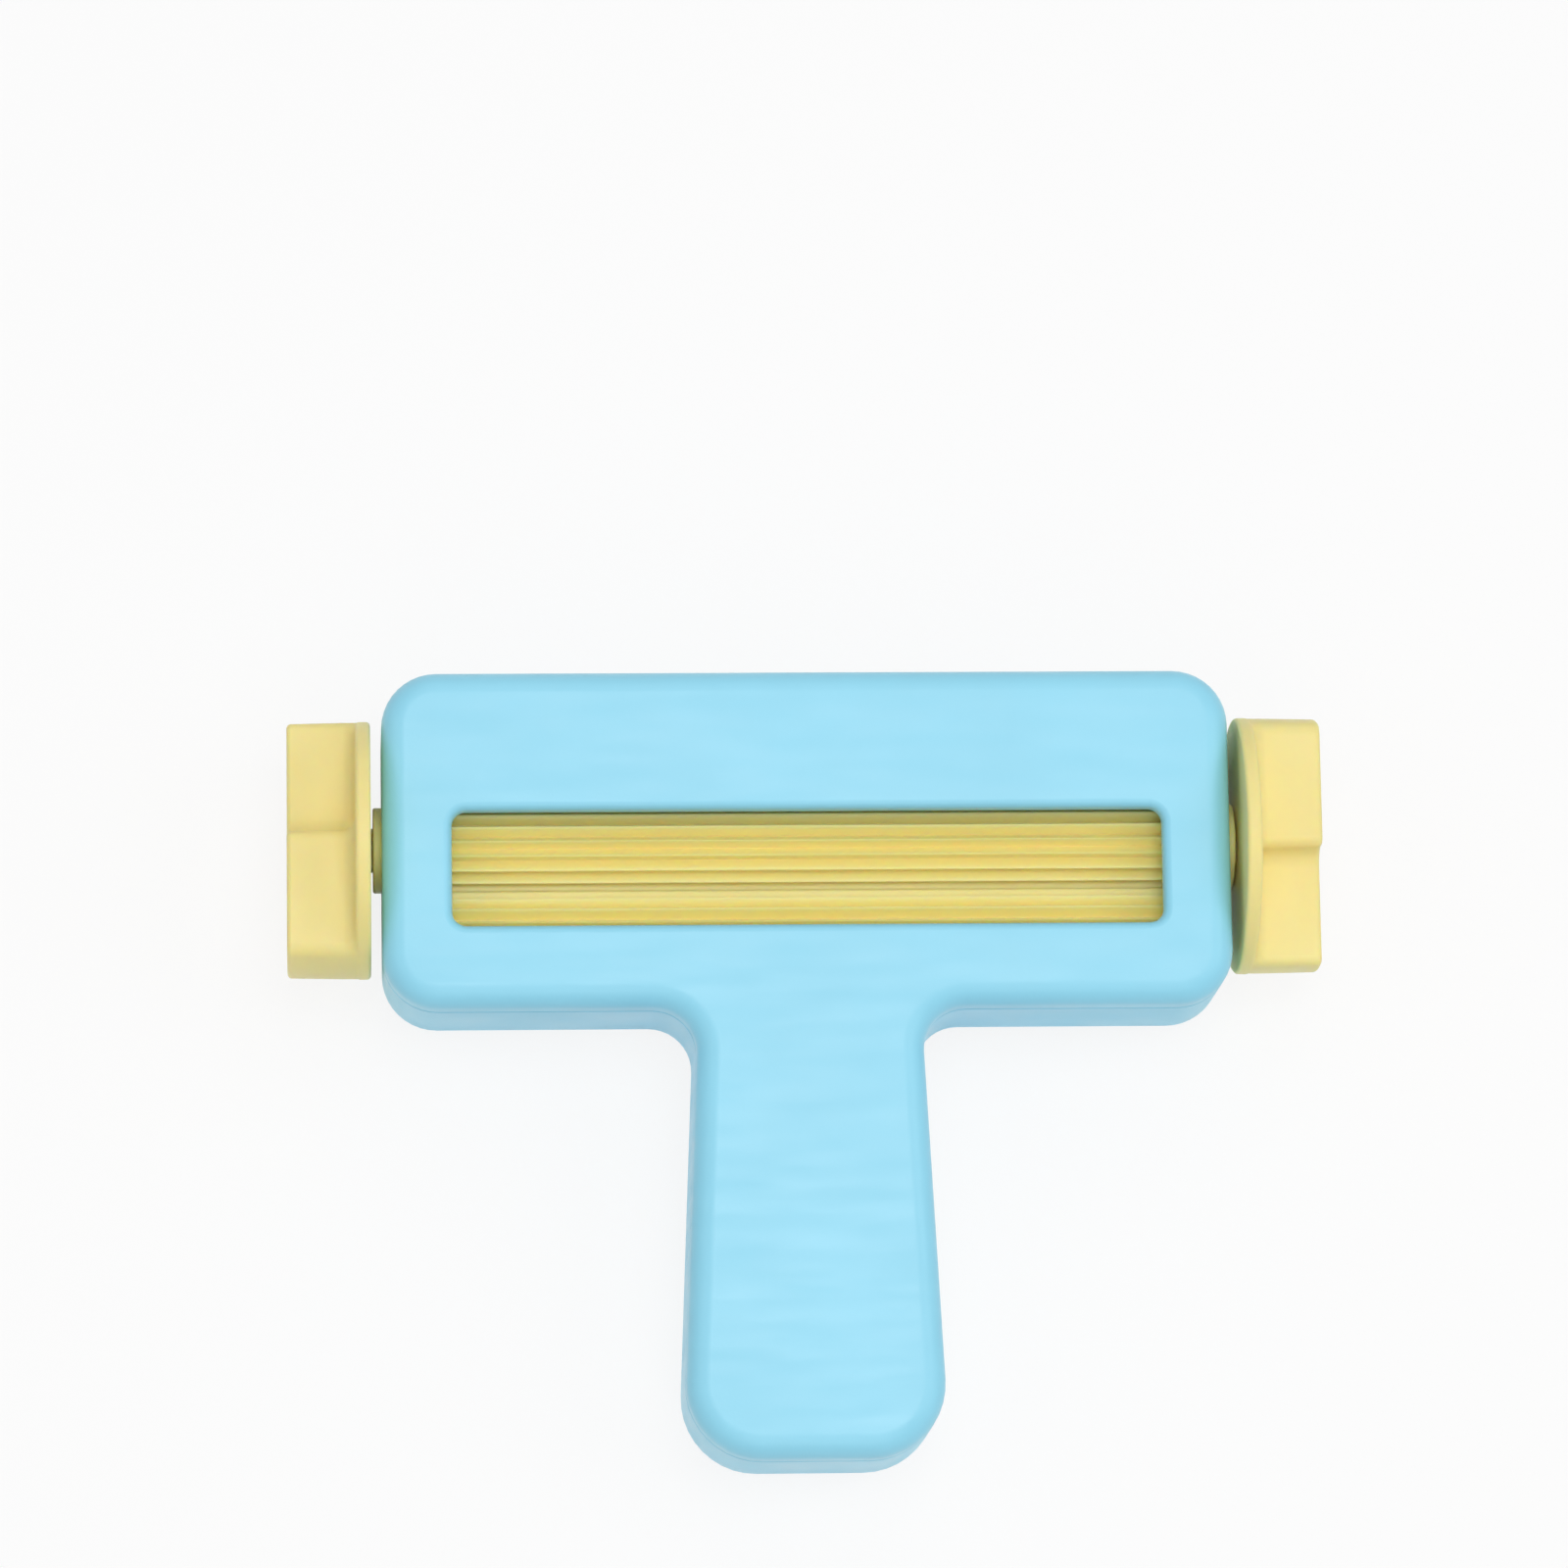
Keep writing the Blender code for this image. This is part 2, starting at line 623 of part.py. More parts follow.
def grip_outline():
    """The knob's S-shaped grip, seen along its axis: two offset halves with ends as round as the rim."""
    end_radius = RIM_RADIUS - GRIP_INSET
    low = GRIP_REACH - GRIP_STEP
    lap = GRIP_CENTRE_LAP
    small = GRIP_SMALL_CORNER
    near_x, near_y = end_corner(end_radius, GRIP_REACH, GRIP_OUTER_CORNER)
    far_x, far_y = end_corner(end_radius, low, small)
    near_turn = math.atan2(near_y, near_x)
    far_turn = math.atan2(-far_y, far_x)
    quarter = math.pi / 2
    half = arc(far_x, -far_y, small, -quarter, far_turn)
    half += arc(0, 0, end_radius, far_turn, near_turn)[1:-1]
    half += arc(near_x, near_y, GRIP_OUTER_CORNER, near_turn, quarter)
    half += arc(small - lap, GRIP_REACH - small, small, quarter, 2 * quarter)
    half += arc(-lap - small, low + small, small, 0, -quarter)
    return half + [(-x, -y) for x, y in half]


def make_knob(name, side, parts, cutters):
    """A round rim with the S-shaped grip outside it, a square socket inside and a screw recess."""
    rim = rods_mesh(name, [(0, 0)], RIM_RADIUS, KNOB_START, GRIP_START, RIM_SIDES)
    turned = (ALONG_X[0], 0, side * ALONG_X[2])
    knob = place(name, rim, parts, (0, DRIVE_Y, AXIS_Z), turned)
    round_edges(knob, RIM_EDGE_ROUND, 2)
    grip = outline_mesh(name + " grip", [grip_outline()], GRIP_START - SINK, KNOB_END)
    grip = place(name + " grip", grip, cutters, knob.location, turned)
    round_edges(grip, GRIP_EDGE_ROUND, 2)
    combine(knob, grip, "UNION")
    half = SQUARE_DRIVE_WIDTH / 2 + SEAT_GAP
    socket = boxes_mesh(name + " socket", [((-half, -half, KNOB_START - PASS), (half, half, SOCKET_END))])
    combine(knob, place("cut " + name + " socket", socket, cutters, knob.location, turned), "DIFFERENCE")
    hole = rods_mesh(
        name + " hole", [(0, 0)], KNOB_HOLE_RADIUS, SOCKET_END - PASS, WEB_END + PASS, SMALL_ROUND_SIDES)
    combine(knob, place("cut " + name + " hole", hole, cutters, knob.location, turned), "DIFFERENCE")
    recess = rods_mesh(
        name + " recess", [(0, 0)], KNOB_RECESS_RADIUS, WEB_END, KNOB_END + PASS, SMALL_ROUND_SIDES)
    combine(knob, place("cut " + name + " recess", recess, cutters, knob.location, turned), "DIFFERENCE")
    return knob


def screw_mesh(name, shank_radius, length, head_radius, head_height):
    """A pan-head screw along z: its head rises from z = 0 and its pointed shank goes down."""
    dome = head_height / 2
    profile = [
        (0, head_height),
        (head_radius - dome, head_height),
        (head_radius - dome * HALF_TURNED, head_height - dome * HALF_TURNED),
        (head_radius, head_height - dome),
        (head_radius, 0),
        (shank_radius, 0),
        (shank_radius, shank_radius - length),
        (0, -length),
    ]
    source = bmesh.new()
    previous = None
    for radius, height in profile:
        point = source.verts.new((radius, 0, height))
        if previous:
            source.edges.new((previous, point))
        previous = point
    return finished_mesh(name, source)


def turn(part):
    """Turn a profile at +X round its z axis."""
    step = part.modifiers.new("turned", "SCREW")
    step.axis = "Z"
    step.angle = math.tau
    step.steps = SMALL_ROUND_SIDES
    step.render_steps = SMALL_ROUND_SIDES
    step.use_merge_vertices = True
    step.merge_threshold = WELD


def cut_cross_slot(screw, head_height, head_radius, cutters):
    """Cut the cross recess into a screw's head."""
    reach = head_radius * CROSS_SLOT_REACH
    half = CROSS_SLOT_WIDTH / 2
    low = head_height - CROSS_SLOT_DEPTH
    high = head_height + PASS
    for label, x, y in (("first", reach, half), ("second", half, reach)):
        bar = boxes_mesh(f"{screw.name} {label} slot", [((-x, -y, low), (x, y, high))])
        tool = place(
            f"cut {screw.name} {label} slot", bar, cutters, screw.location, screw.rotation_euler)
        combine(screw, tool, "DIFFERENCE")


def make_case_screw(name, x, y, parts, cutters):
    """A case screw, head down in its counterbore in the back shell."""
    mesh = screw_mesh(
        name, CASE_SCREW_SHANK_RADIUS, CASE_SCREW_LENGTH, CASE_SCREW_HEAD_RADIUS, CASE_SCREW_HEAD_HEIGHT)
    screw = place(name, mesh, parts, (x, y, CASE_SCREW_SEAT_Z), (math.pi, 0, 0))
    turn(screw)
    cut_cross_slot(screw, CASE_SCREW_HEAD_HEIGHT, CASE_SCREW_HEAD_RADIUS, cutters)
    return screw


def make_knob_screw(name, side, parts, cutters):
    """A knob's screw, head outwards in the recess, threaded into the square stub."""
    mesh = screw_mesh(
        name, KNOB_SCREW_SHANK_RADIUS, KNOB_SCREW_LENGTH, KNOB_SCREW_HEAD_RADIUS, KNOB_SCREW_HEAD_HEIGHT)
    turned = (ALONG_X[0], 0, side * ALONG_X[2])
    screw = place(name, mesh, parts, (side * KNOB_HEAD_START, DRIVE_Y, AXIS_Z), turned)
    turn(screw)
    cut_cross_slot(screw, KNOB_SCREW_HEAD_HEIGHT, KNOB_SCREW_HEAD_RADIUS, cutters)
    return screw


def make_washer(name, side, parts):
    """The washer between a knob's web and its screw's head."""
    loops = [circle(WASHER_RADIUS, SMALL_ROUND_SIDES), circle(KNOB_HOLE_RADIUS, SMALL_ROUND_SIDES)]
    start = WEB_END + SEAT_GAP
    mesh = outline_mesh(name, loops, start, start + WASHER_THICKNESS)
    return place(name, mesh, parts, (0, DRIVE_Y, AXIS_Z), (ALONG_X[0], 0, side * ALONG_X[2]))


def hang_on_axis(name, axis_y, pieces, group):
    """Parent a turning set to an empty on its axis, with each piece kept where it is."""
    bpy.context.view_layer.update()
    axis = bpy.data.objects.new(name, None)
    axis.location = (0, axis_y, AXIS_Z)
    group.objects.link(axis)
    bpy.context.view_layer.update()
    for piece in pieces:
        piece.parent = axis
        piece.matrix_parent_inverse = axis.matrix_world.inverted()


def main():
    """Model the crimper: the case, the two rollers with their plugs, the knobs and the fixings."""
    clear_scene()
    parts = collection("paper crimper")
    cutters = collection("cutters")
    blue = plastic("light blue plastic", (0.372, 0.799, 0.973), 0.42)
    yellow = plastic("pale yellow plastic", (0.973, 0.831, 0.305), 0.40)
    steel = metal("zinc plated steel", (0.62, 0.62, 0.64), 0.32)

    finish(make_back_shell(parts, cutters), blue)
    finish(make_front_shell(parts, cutters), blue)

    half_pitch = math.pi / RIB_COUNT
    drive_set = [finish(make_roller("drive_roller", DRIVE_Y, math.pi, parts), yellow)]
    driven_set = [finish(make_roller("driven_roller", DRIVEN_Y, half_pitch, parts), yellow)]
    for side, label in ((-1, "left"), (1, "right")):
        drive_set += [
            finish(make_drive_plug(f"drive_journal_{label}", side, parts, cutters), yellow),
            finish(make_knob(f"{label}_knob", side, parts, cutters), yellow),
            finish(make_washer(f"{label}_knob_washer", side, parts), steel),
            finish(make_knob_screw(f"{label}_knob_screw", side, parts, cutters), steel),
        ]
        stub = make_end_plug(
            f"driven_journal_{label}", DRIVEN_Y, side, STUB_RADIUS, STUB_END, parts, cutters)
        driven_set.append(finish(stub, yellow))
    for number, (x, y) in enumerate(screw_places(), start=1):
        finish(make_case_screw(f"case_screw_{number}", x, y, parts, cutters), steel)

    hang_on_axis("drive axis", DRIVE_Y, drive_set, parts)
    hang_on_axis("driven axis", DRIVEN_Y, driven_set, parts)


main()
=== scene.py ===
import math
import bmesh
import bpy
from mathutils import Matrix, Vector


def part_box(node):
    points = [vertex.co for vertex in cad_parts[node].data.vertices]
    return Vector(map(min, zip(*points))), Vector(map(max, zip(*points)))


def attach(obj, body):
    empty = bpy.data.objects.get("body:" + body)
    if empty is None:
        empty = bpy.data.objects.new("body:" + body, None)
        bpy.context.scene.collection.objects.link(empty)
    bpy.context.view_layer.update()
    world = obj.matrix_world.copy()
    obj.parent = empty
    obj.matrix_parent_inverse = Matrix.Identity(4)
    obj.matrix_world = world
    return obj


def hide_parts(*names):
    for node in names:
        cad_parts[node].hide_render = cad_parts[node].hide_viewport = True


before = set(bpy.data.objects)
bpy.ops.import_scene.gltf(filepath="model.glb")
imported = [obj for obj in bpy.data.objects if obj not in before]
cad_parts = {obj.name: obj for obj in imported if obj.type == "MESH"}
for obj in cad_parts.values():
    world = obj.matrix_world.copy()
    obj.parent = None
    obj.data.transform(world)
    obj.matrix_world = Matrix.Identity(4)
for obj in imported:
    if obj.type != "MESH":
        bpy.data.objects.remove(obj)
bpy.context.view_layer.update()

# %% [markdown]
# # A hand-held paper crimper
#
# Two ribbed rollers lie one above the other in a T-shaped plastic case. A strip of paper goes in
# at the long window, and a knob at each end of the upper roller pulls it through.
#
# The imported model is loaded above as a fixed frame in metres. It already has every piece in its
# place, with plain edges and few faces. This lesson gives each piece the finer shape and the
# finish of the real one, so nearly every step builds a mesh and lets it stand for a frame piece.
# Booleans and bevels on the frame's own meshes would be quicker to write, but those meshes have
# to stay as they are.

print("frame:", sorted(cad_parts))

# %% [markdown]
# ## Reading sizes from the frame
#
# The frame knows where each piece starts and ends, so the main sizes are read from its boxes.
# If the case is made longer there, every step below follows. Only the sizes that a box can't
# tell, such as the radius of an edge, are written here as numbers, in metres.

# %% Main sizes of case, rollers and knobs
case_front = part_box("front_shell")[1]
case_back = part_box("back_shell")[0]
FRONT = case_front.z
BACK = case_back.z
HEAD_HALF = case_front.x
HEAD_TOP = case_front.y
HANDLE_END = case_back.y
SEAM_GAP = 0.00015
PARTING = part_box("back_shell")[1].z + SEAM_GAP

drive_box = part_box("drive_roller")
driven_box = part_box("driven_roller")
DRIVE_Y = (drive_box[0].y + drive_box[1].y) / 2
DRIVEN_Y = (driven_box[0].y + driven_box[1].y) / 2
AXIS_Z = (drive_box[0].z + drive_box[1].z) / 2
BARREL_HALF = drive_box[1].x

knob_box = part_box("right_knob")
RIM_RADIUS = (knob_box[1].z - knob_box[0].z) / 2
KNOB_START, KNOB_END = knob_box[0].x, knob_box[1].x
print(f"case {FRONT - BACK:.4f} m thick, rollers at y {DRIVE_Y:.4f} and {DRIVEN_Y:.4f}")
print(f"parting line at z {PARTING:.5f}, knob from x {KNOB_START:.4f} to {KNOB_END:.4f}")

# %% Sizes that no box can tell
MARGIN_ABOVE_WINDOW = 0.0181
WINDOW_HALF_WIDTH = 0.0450
WINDOW_HALF_HEIGHT = 0.00735
MARGIN_BELOW_WINDOW = 0.0103
WALL = 0.0020
WINDOW_Y = HEAD_TOP - MARGIN_ABOVE_WINDOW - WINDOW_HALF_HEIGHT
HEAD_BOTTOM = WINDOW_Y - WINDOW_HALF_HEIGHT - MARGIN_BELOW_WINDOW
RUNNING_GAP = 0.0003
print(f"window centre y {WINDOW_Y:.4f}, head from y {HEAD_BOTTOM:.4f} to {HEAD_TOP:.4f}")

# %% [markdown]
# ## One way to make nearly every piece: a loft
#
# Moulded and turned pieces have one thing in common. Cut across, they show the same outline all
# the way along, only a little larger or smaller where an edge is rounded. So each piece can be
# made as a stack of outlines, called rings, joined by a skin of four-sided faces. A bevel
# modifier gives similar edges, but a loft keeps the number of faces and their flow in our hands,
# which shows in the highlights.

# %% A rounded outline with a fixed number of points at each corner
def rounded_outline(corners, steps=8):
    """Points of a closed outline: each corner is x, y and the radius of its arc."""
    points = []
    for index, (x, y, radius) in enumerate(corners):
        here = Vector((x, y))
        before = (Vector(corners[index - 1][:2]) - here).normalized()
        after = (Vector(corners[(index + 1) % len(corners)][:2]) - here).normalized()
        half = before.angle(after) / 2
        centre = here + (before + after).normalized() * radius / math.sin(half)
        start = here + before * radius / math.tan(half) - centre
        turn = start.angle_signed(here + after * radius / math.tan(half) - centre)
        for step in range(steps + 1):
            angle = -turn * step / steps
            points.append((
                centre.x + start.x * math.cos(angle) - start.y * math.sin(angle),
                centre.y + start.x * math.sin(angle) + start.y * math.cos(angle),
            ))
    return points


def circle(radius, sides):
    """Points of a circle."""
    return [(radius * math.cos(math.tau * s / sides), radius * math.sin(math.tau * s / sides))
            for s in range(sides)]


print(len(rounded_outline([(1, 1, 0.2), (-1, 1, 0.2), (-1, -1, 0.2), (1, -1, 0.2)])), "points")

# %% Lofting a stack of rings into a mesh object
def loft(name, rings, closed=False):
    """A skin over rings of equally many points; closed joins the last ring to the first."""
    skin = bmesh.new()
    rows = [[skin.verts.new(point) for point in ring] for ring in rings]
    pairs = list(zip(rows, rows[1:]))
    if closed:
        pairs.append((rows[-1], rows[0]))
    else:
        skin.faces.new(rows[0])
        skin.faces.new(rows[-1])
    count = len(rows[0])
    for low, high in pairs:
        for index in range(count):
            after = (index + 1) % count
            skin.faces.new((low[index], low[after], high[after], high[index]))
    bmesh.ops.recalc_face_normals(skin, faces=skin.faces)
    mesh = bpy.data.meshes.new(name)
    skin.to_mesh(mesh)
    skin.free()
    piece = bpy.data.objects.new(name, mesh)
    bpy.context.scene.collection.objects.link(piece)
    return piece


print("loft is ready")

# %% [markdown]
# Most rounded edges are a quarter circle. Followed from the side of a piece to its flat face,
# the outline moves in as the height goes up, and the pairs below give both. For an inner corner,
# such as the one between a knob's rim and its grip, the same pairs are used the other way round.

# %% The quarter circle that rounds an edge
def quarter_round(radius, steps):
    """Pairs of depth below the face and inset from the side, from the side up to the face."""
    pairs = []
    for step in range(steps + 1):
        angle = math.pi / 2 * step / steps
        pairs.append((radius * (1 - math.sin(angle)), radius * (1 - math.cos(angle))))
    return pairs


print([tuple(round(v, 2) for v in pair) for pair in quarter_round(1.0, 3)])

# %% [markdown]
# Lofted solids are then joined to each other or cut out of each other with Boolean modifiers,
# which are applied at once. The flat faces left by a Boolean are large, next to very small ones
# on the rounded edges, and smooth shading would bend the light across them. Weighted normals
# let the large faces keep their own direction.

# %% Joining, cutting and smoothing
def applied(piece):
    """Apply a piece's modifiers and give its mesh back to it."""
    graph = bpy.context.evaluated_depsgraph_get()
    mesh = bpy.data.meshes.new_from_object(piece.evaluated_get(graph), depsgraph=graph)
    piece.modifiers.clear()
    old = piece.data
    piece.data = mesh
    bpy.data.meshes.remove(old)
    mesh.name = piece.name
    return piece


def shape(piece, tool, operation):
    """Join a helper to a piece with UNION, or cut it out with DIFFERENCE; the helper goes."""
    step = piece.modifiers.new("shape", "BOOLEAN")
    step.operation = operation
    step.solver = "EXACT"
    step.object = tool
    applied(piece)
    bpy.data.objects.remove(tool, do_unlink=True)
    return piece


def smooth(piece, angle=32):
    """Smooth shading that stops at sharp edges, with normals weighted by face size."""
    piece.data.shade_smooth()
    piece.data.set_sharp_from_angle(angle=math.radians(angle))
    step = piece.modifiers.new("weighted normals", "WEIGHTED_NORMAL")
    step.keep_sharp = True
    return applied(piece)


print("Boolean and shading helpers are ready")

# %% [markdown]
# ## The finish of moulded plastic
#
# The real case is injection-moulded in light blue plastic with a satin skin, and the rollers and
# knobs in pale yellow. Such a skin is never one flat colour. The mould's fine grain breaks up the
# highlight, the colour drifts slightly where the plastic cooled at different speeds, and handling
# leaves faint rubbed streaks that are a little glossier or duller. Each of these is one noise
# texture in object coordinates, so its scale is in real metres and it stays on the piece.

# %% Node helpers for the materials
def new_material(name, slot_colour, roughness):
    """A material with its shader, and the shared object coordinates."""
    material = bpy.data.materials.new(name)
    material.use_nodes = True
    shader = material.node_tree.nodes["Principled BSDF"]
    shader.inputs["Base Color"].default_value = (*slot_colour, 1)
    shader.inputs["Roughness"].default_value = roughness
    material.diffuse_color = (*slot_colour, 1)
    place = material.node_tree.nodes.new("ShaderNodeTexCoord")
    return material, material.node_tree, shader, place.outputs["Object"]


def noise(tree, place, scale, detail=2.0, stretch=(1, 1, 1)):
    """Noise whose grains are about one over the scale in metres, stretched if asked."""
    if stretch != (1, 1, 1):
        turn = tree.nodes.new("ShaderNodeMapping")
        turn.inputs["Scale"].default_value = stretch
        tree.links.new(place, turn.inputs["Vector"])
        place = turn.outputs["Vector"]
    texture = tree.nodes.new("ShaderNodeTexNoise")
    texture.inputs["Scale"].default_value = scale
    texture.inputs["Detail"].default_value = detail
    tree.links.new(place, texture.inputs["Vector"])
    return texture.outputs["Fac"]


def spread(tree, value, low, high, start=0.3, end=0.7):
    """Map the useful middle of a noise to a range."""
    scale = tree.nodes.new("ShaderNodeMapRange")
    scale.inputs["From Min"].default_value = start
    scale.inputs["From Max"].default_value = end
    scale.inputs["To Min"].default_value = low
    scale.inputs["To Max"].default_value = high
    tree.links.new(value, scale.inputs["Value"])
    return scale.outputs["Result"]


def blend_colours(tree, factor, first, second):
    """Mix two colours by a factor."""
    mix = tree.nodes.new("ShaderNodeMix")
    mix.data_type = "RGBA"
    mix.inputs["A"].default_value = (*first, 1)
    mix.inputs["B"].default_value = (*second, 1)
    tree.links.new(factor, mix.inputs["Factor"])
    return mix.outputs["Result"]


def add_bumps(tree, shader, layers):
    """Stack bump layers, each a height and how far it stands out in metres."""
    normal = None
    for height, distance in layers:
        bump = tree.nodes.new("ShaderNodeBump")
        bump.inputs["Strength"].default_value = 1.0
        bump.inputs["Distance"].default_value = distance
        tree.links.new(height, bump.inputs["Height"])
        if normal:
            tree.links.new(normal, bump.inputs["Normal"])
        normal = bump.outputs["Normal"]
    tree.links.new(normal, shader.inputs["Normal"])


print("node helpers are ready")

# %% The moulded plastics
def moulded_plastic(name, colour, drift, roughness, grain, streaks, glow_through):
    """Satin moulded plastic: drifting colour, fine grain, rubbed streaks and a little depth."""
    material, tree, shader, place = new_material(name, colour, roughness)
    darker = tuple(value * (1 - drift) for value in colour)
    lighter = tuple(min(value * (1 + drift * 0.6), 1) for value in colour)
    clouds = spread(tree, noise(tree, place, 55, 3), 0, 1)
    tree.links.new(blend_colours(tree, clouds, darker, lighter), shader.inputs["Base Color"])
    rubbed = noise(tree, place, 90, 4, streaks)
    tree.links.new(
        spread(tree, rubbed, roughness - 0.06, roughness + 0.07), shader.inputs["Roughness"])
    fine = noise(tree, place, grain, 1)
    soft = noise(tree, place, 180, 2)
    add_bumps(tree, shader, [(soft, 0.000012), (fine, 0.000006)])
    shader.inputs["Subsurface Weight"].default_value = glow_through
    shader.inputs["Subsurface Radius"].default_value = (1.0, 0.7, 0.25)
    shader.inputs["Subsurface Scale"].default_value = 0.0012
    return material


case_plastic = moulded_plastic(
    "light blue satin plastic", (0.318, 0.765, 0.965), 0.022, 0.36, 2600, (1, 6, 1), 0.0)
roller_plastic = moulded_plastic(
    "pale yellow roller plastic", (0.985, 0.825, 0.320), 0.010, 0.42, 3200, (0.5, 2, 2), 0.8)
knob_plastic = moulded_plastic(
    "pale yellow knob plastic", (0.980, 0.815, 0.330), 0.020, 0.44, 2600, (4, 1, 1), 0.6)
print("plastics:", case_plastic.name, roller_plastic.name, knob_plastic.name)

# %% [markdown]
# The screws and washers are zinc-plated steel. Zinc is paler and duller than bare steel, with
# small crystals that catch the light unevenly and fine marks round the axis from forming. Only
# the knob screws and the screws in the back show, but the hidden ones get the same finish.

# %% Zinc-plated steel
def zinc_plate(name):
    """Plated steel with small crystals and a slightly uneven sheen."""
    colour = (0.62, 0.62, 0.64)
    material, tree, shader, place = new_material(name, colour, 0.34)
    shader.inputs["Metallic"].default_value = 1.0
    crystals = spread(tree, noise(tree, place, 2200, 2), 0, 1)
    shades = blend_colours(tree, crystals, (0.54, 0.54, 0.56), (0.68, 0.68, 0.69))
    tree.links.new(shades, shader.inputs["Base Color"])
    tree.links.new(
        spread(tree, noise(tree, place, 900, 2), 0.26, 0.44), shader.inputs["Roughness"])
    add_bumps(tree, shader, [(noise(tree, place, 3000, 1), 0.000005)])
    return material


steel = zinc_plate("zinc plated steel")
print("metal:", steel.name)

# %% [markdown]
# Every finished piece ends the same way. It gets its material, it stands for its frame piece, and it
# rides on the body that carries it: the case, the drive set that turns with the knobs, or the driven
# set.

# %% Handing a finished piece over
def hand_over(piece, node, body, material):
    """Give a piece its finish and let it stand for a frame node on its body."""
    piece.data.materials.clear()
    piece.data.materials.append(material)
    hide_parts(node)
    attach(piece, body)
    print(f"{piece.name}: {len(piece.data.polygons)} faces, stands for {node}, rides on {body}")


print("hand_over is ready")

# %% [markdown]
# ## The T-shaped case
#
# Seen from the front, the case is a T with soft corners: a wide head for the rollers and a
# handle that widens slightly towards its end. Its two halves meet along a line round the side
# walls, and share this outline. Moved in by the wall's thickness, the same outline gives the
# hollow, so it is written once with an inset.

# %% The outline of the case
HEAD_CORNER = 0.0070
NECK_CORNER = 0.0055
HANDLE_CORNER = 0.0095
NECK_HALF = 0.0141
END_HALF = 0.0167


def case_corners(inset=0.0):
    """The T's corners, moved in by an inset, anticlockwise from the top right."""
    slant = (END_HALF - NECK_HALF) / (HEAD_BOTTOM - HANDLE_END)
    shift = inset * (math.hypot(1, slant) + slant)
    side, top, bottom = HEAD_HALF - inset, HEAD_TOP - inset, HEAD_BOTTOM + inset
    neck, end_half, end = NECK_HALF - shift, END_HALF - shift, HANDLE_END + inset
    head, foot = HEAD_CORNER - inset, HANDLE_CORNER - inset
    return [
        (side, top, head), (-side, top, head), (-side, bottom, head),
        (-neck, bottom, NECK_CORNER + inset), (-end_half, end, foot), (end_half, end, foot),
        (neck, bottom, NECK_CORNER + inset), (side, bottom, head),
    ]


def case_ring(inset, height):
    """The T outline as a ring of the loft."""
    return [(x, y, height) for x, y in rounded_outline(case_corners(inset), 10)]


print(len(case_ring(0, 0)), "points round the T")

# %% [markdown]
# The front face runs into the sides over a soft 3 mm round, and the two halves meet in a fine
# groove: each rim is broken by a tiny chamfer, as moulders do to hide a slight mismatch. Both
# belong to the stack of rings: a quarter circle of insets at the face and one small inset at
# the rim.

# %% The solid block of each half
FACE_ROUND = 0.0030
RIM_CHAMFER = 0.00018


def half_block(name, face, rim):
    """One half of the case as a solid block between its outer face and its rim."""
    up = 1 if face > rim else -1
    rings = [case_ring(RIM_CHAMFER, rim), case_ring(0, rim + up * RIM_CHAMFER)]
    for depth, inset in quarter_round(FACE_ROUND, 9):
        rings.append(case_ring(inset, face - up * depth))
    return loft(name, rings)


back_half = half_block("back_case", BACK, PARTING - SEAM_GAP)
front_half = half_block("front_case", FRONT, PARTING + SEAM_GAP)
print("blocks:", len(back_half.data.polygons), len(front_half.data.polygons), "faces")

# %% [markdown]
# The hollow is the same stack with a 2 mm inset and a small round where the walls meet the
# floor. It reaches past the rim, so that the cut is clean there.

# %% Hollowing both halves
PASS = 0.0020
FLOOR_ROUND = 0.0010


def hollow(name, face, rim):
    """The space inside one half, which reaches past its rim."""
    up = 1 if face > rim else -1
    rings = [case_ring(WALL, rim - up * PASS)]
    for depth, inset in quarter_round(FLOOR_ROUND, 3):
        rings.append(case_ring(WALL + inset, face - up * (WALL + depth)))
    return loft(name, rings)


shape(back_half, hollow("back hollow", BACK, PARTING - SEAM_GAP), "DIFFERENCE")
shape(front_half, hollow("front hollow", FRONT, PARTING + SEAM_GAP), "DIFFERENCE")
print("hollowed:", len(back_half.data.polygons), len(front_half.data.polygons), "faces")

# %% [markdown]
# ## What the case holds inside
#
# Inside there are plates that carry the rollers' ends, round posts for the six screws, cross
# ribs that keep the handle from flexing, and short tabs on the front half that line it up with
# the back half. Posts and ribs are plain forms that a mould can release, so boxes and round
# rods are right here, with one corner of the case hiding them from view.

# %% Rods and boxes that become posts, plates and ribs
def rod(name, radius, low, high, x, y, sides=24):
    """A round rod along the case's depth."""
    rings = [[(x + px, y + py, z) for px, py in circle(radius, sides)] for z in (low, high)]
    return loft(name, rings)


def block(name, lowest, highest):
    """A box between its lowest and highest corner."""
    (x0, y0, z0), (x1, y1, z1) = lowest, highest
    rings = [[(x0, y0, z), (x1, y0, z), (x1, y1, z), (x0, y1, z)] for z in (z0, z1)]
    return loft(name, rings)


def both_sides(lowest, highest):
    """The two corners given, and the same ones mirrored to the other side."""
    mirrored = ((-highest[0], *lowest[1:]), (-lowest[0], *highest[1:]))
    return [(lowest, highest), mirrored]


print("rod and block are ready")

# %% Where the screws and the bearing plates are
POST_RADIUS = 0.0044
SCREW_HOLE = 0.0017
SCREW_HEAD_HOLE = 0.0030
screw_spots = []
for number in range(1, 7):
    low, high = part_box(f"case_screw_{number}")
    screw_spots.append(((low.x + high.x) / 2, (low.y + high.y) / 2))
PLATE_START = BARREL_HALF + 2 * RUNNING_GAP
PLATE_END = PLATE_START + 0.0020
SCREW_SEAT = BACK + 0.0060
print("screws at", [(round(x, 4), round(y, 4)) for x, y in screw_spots])

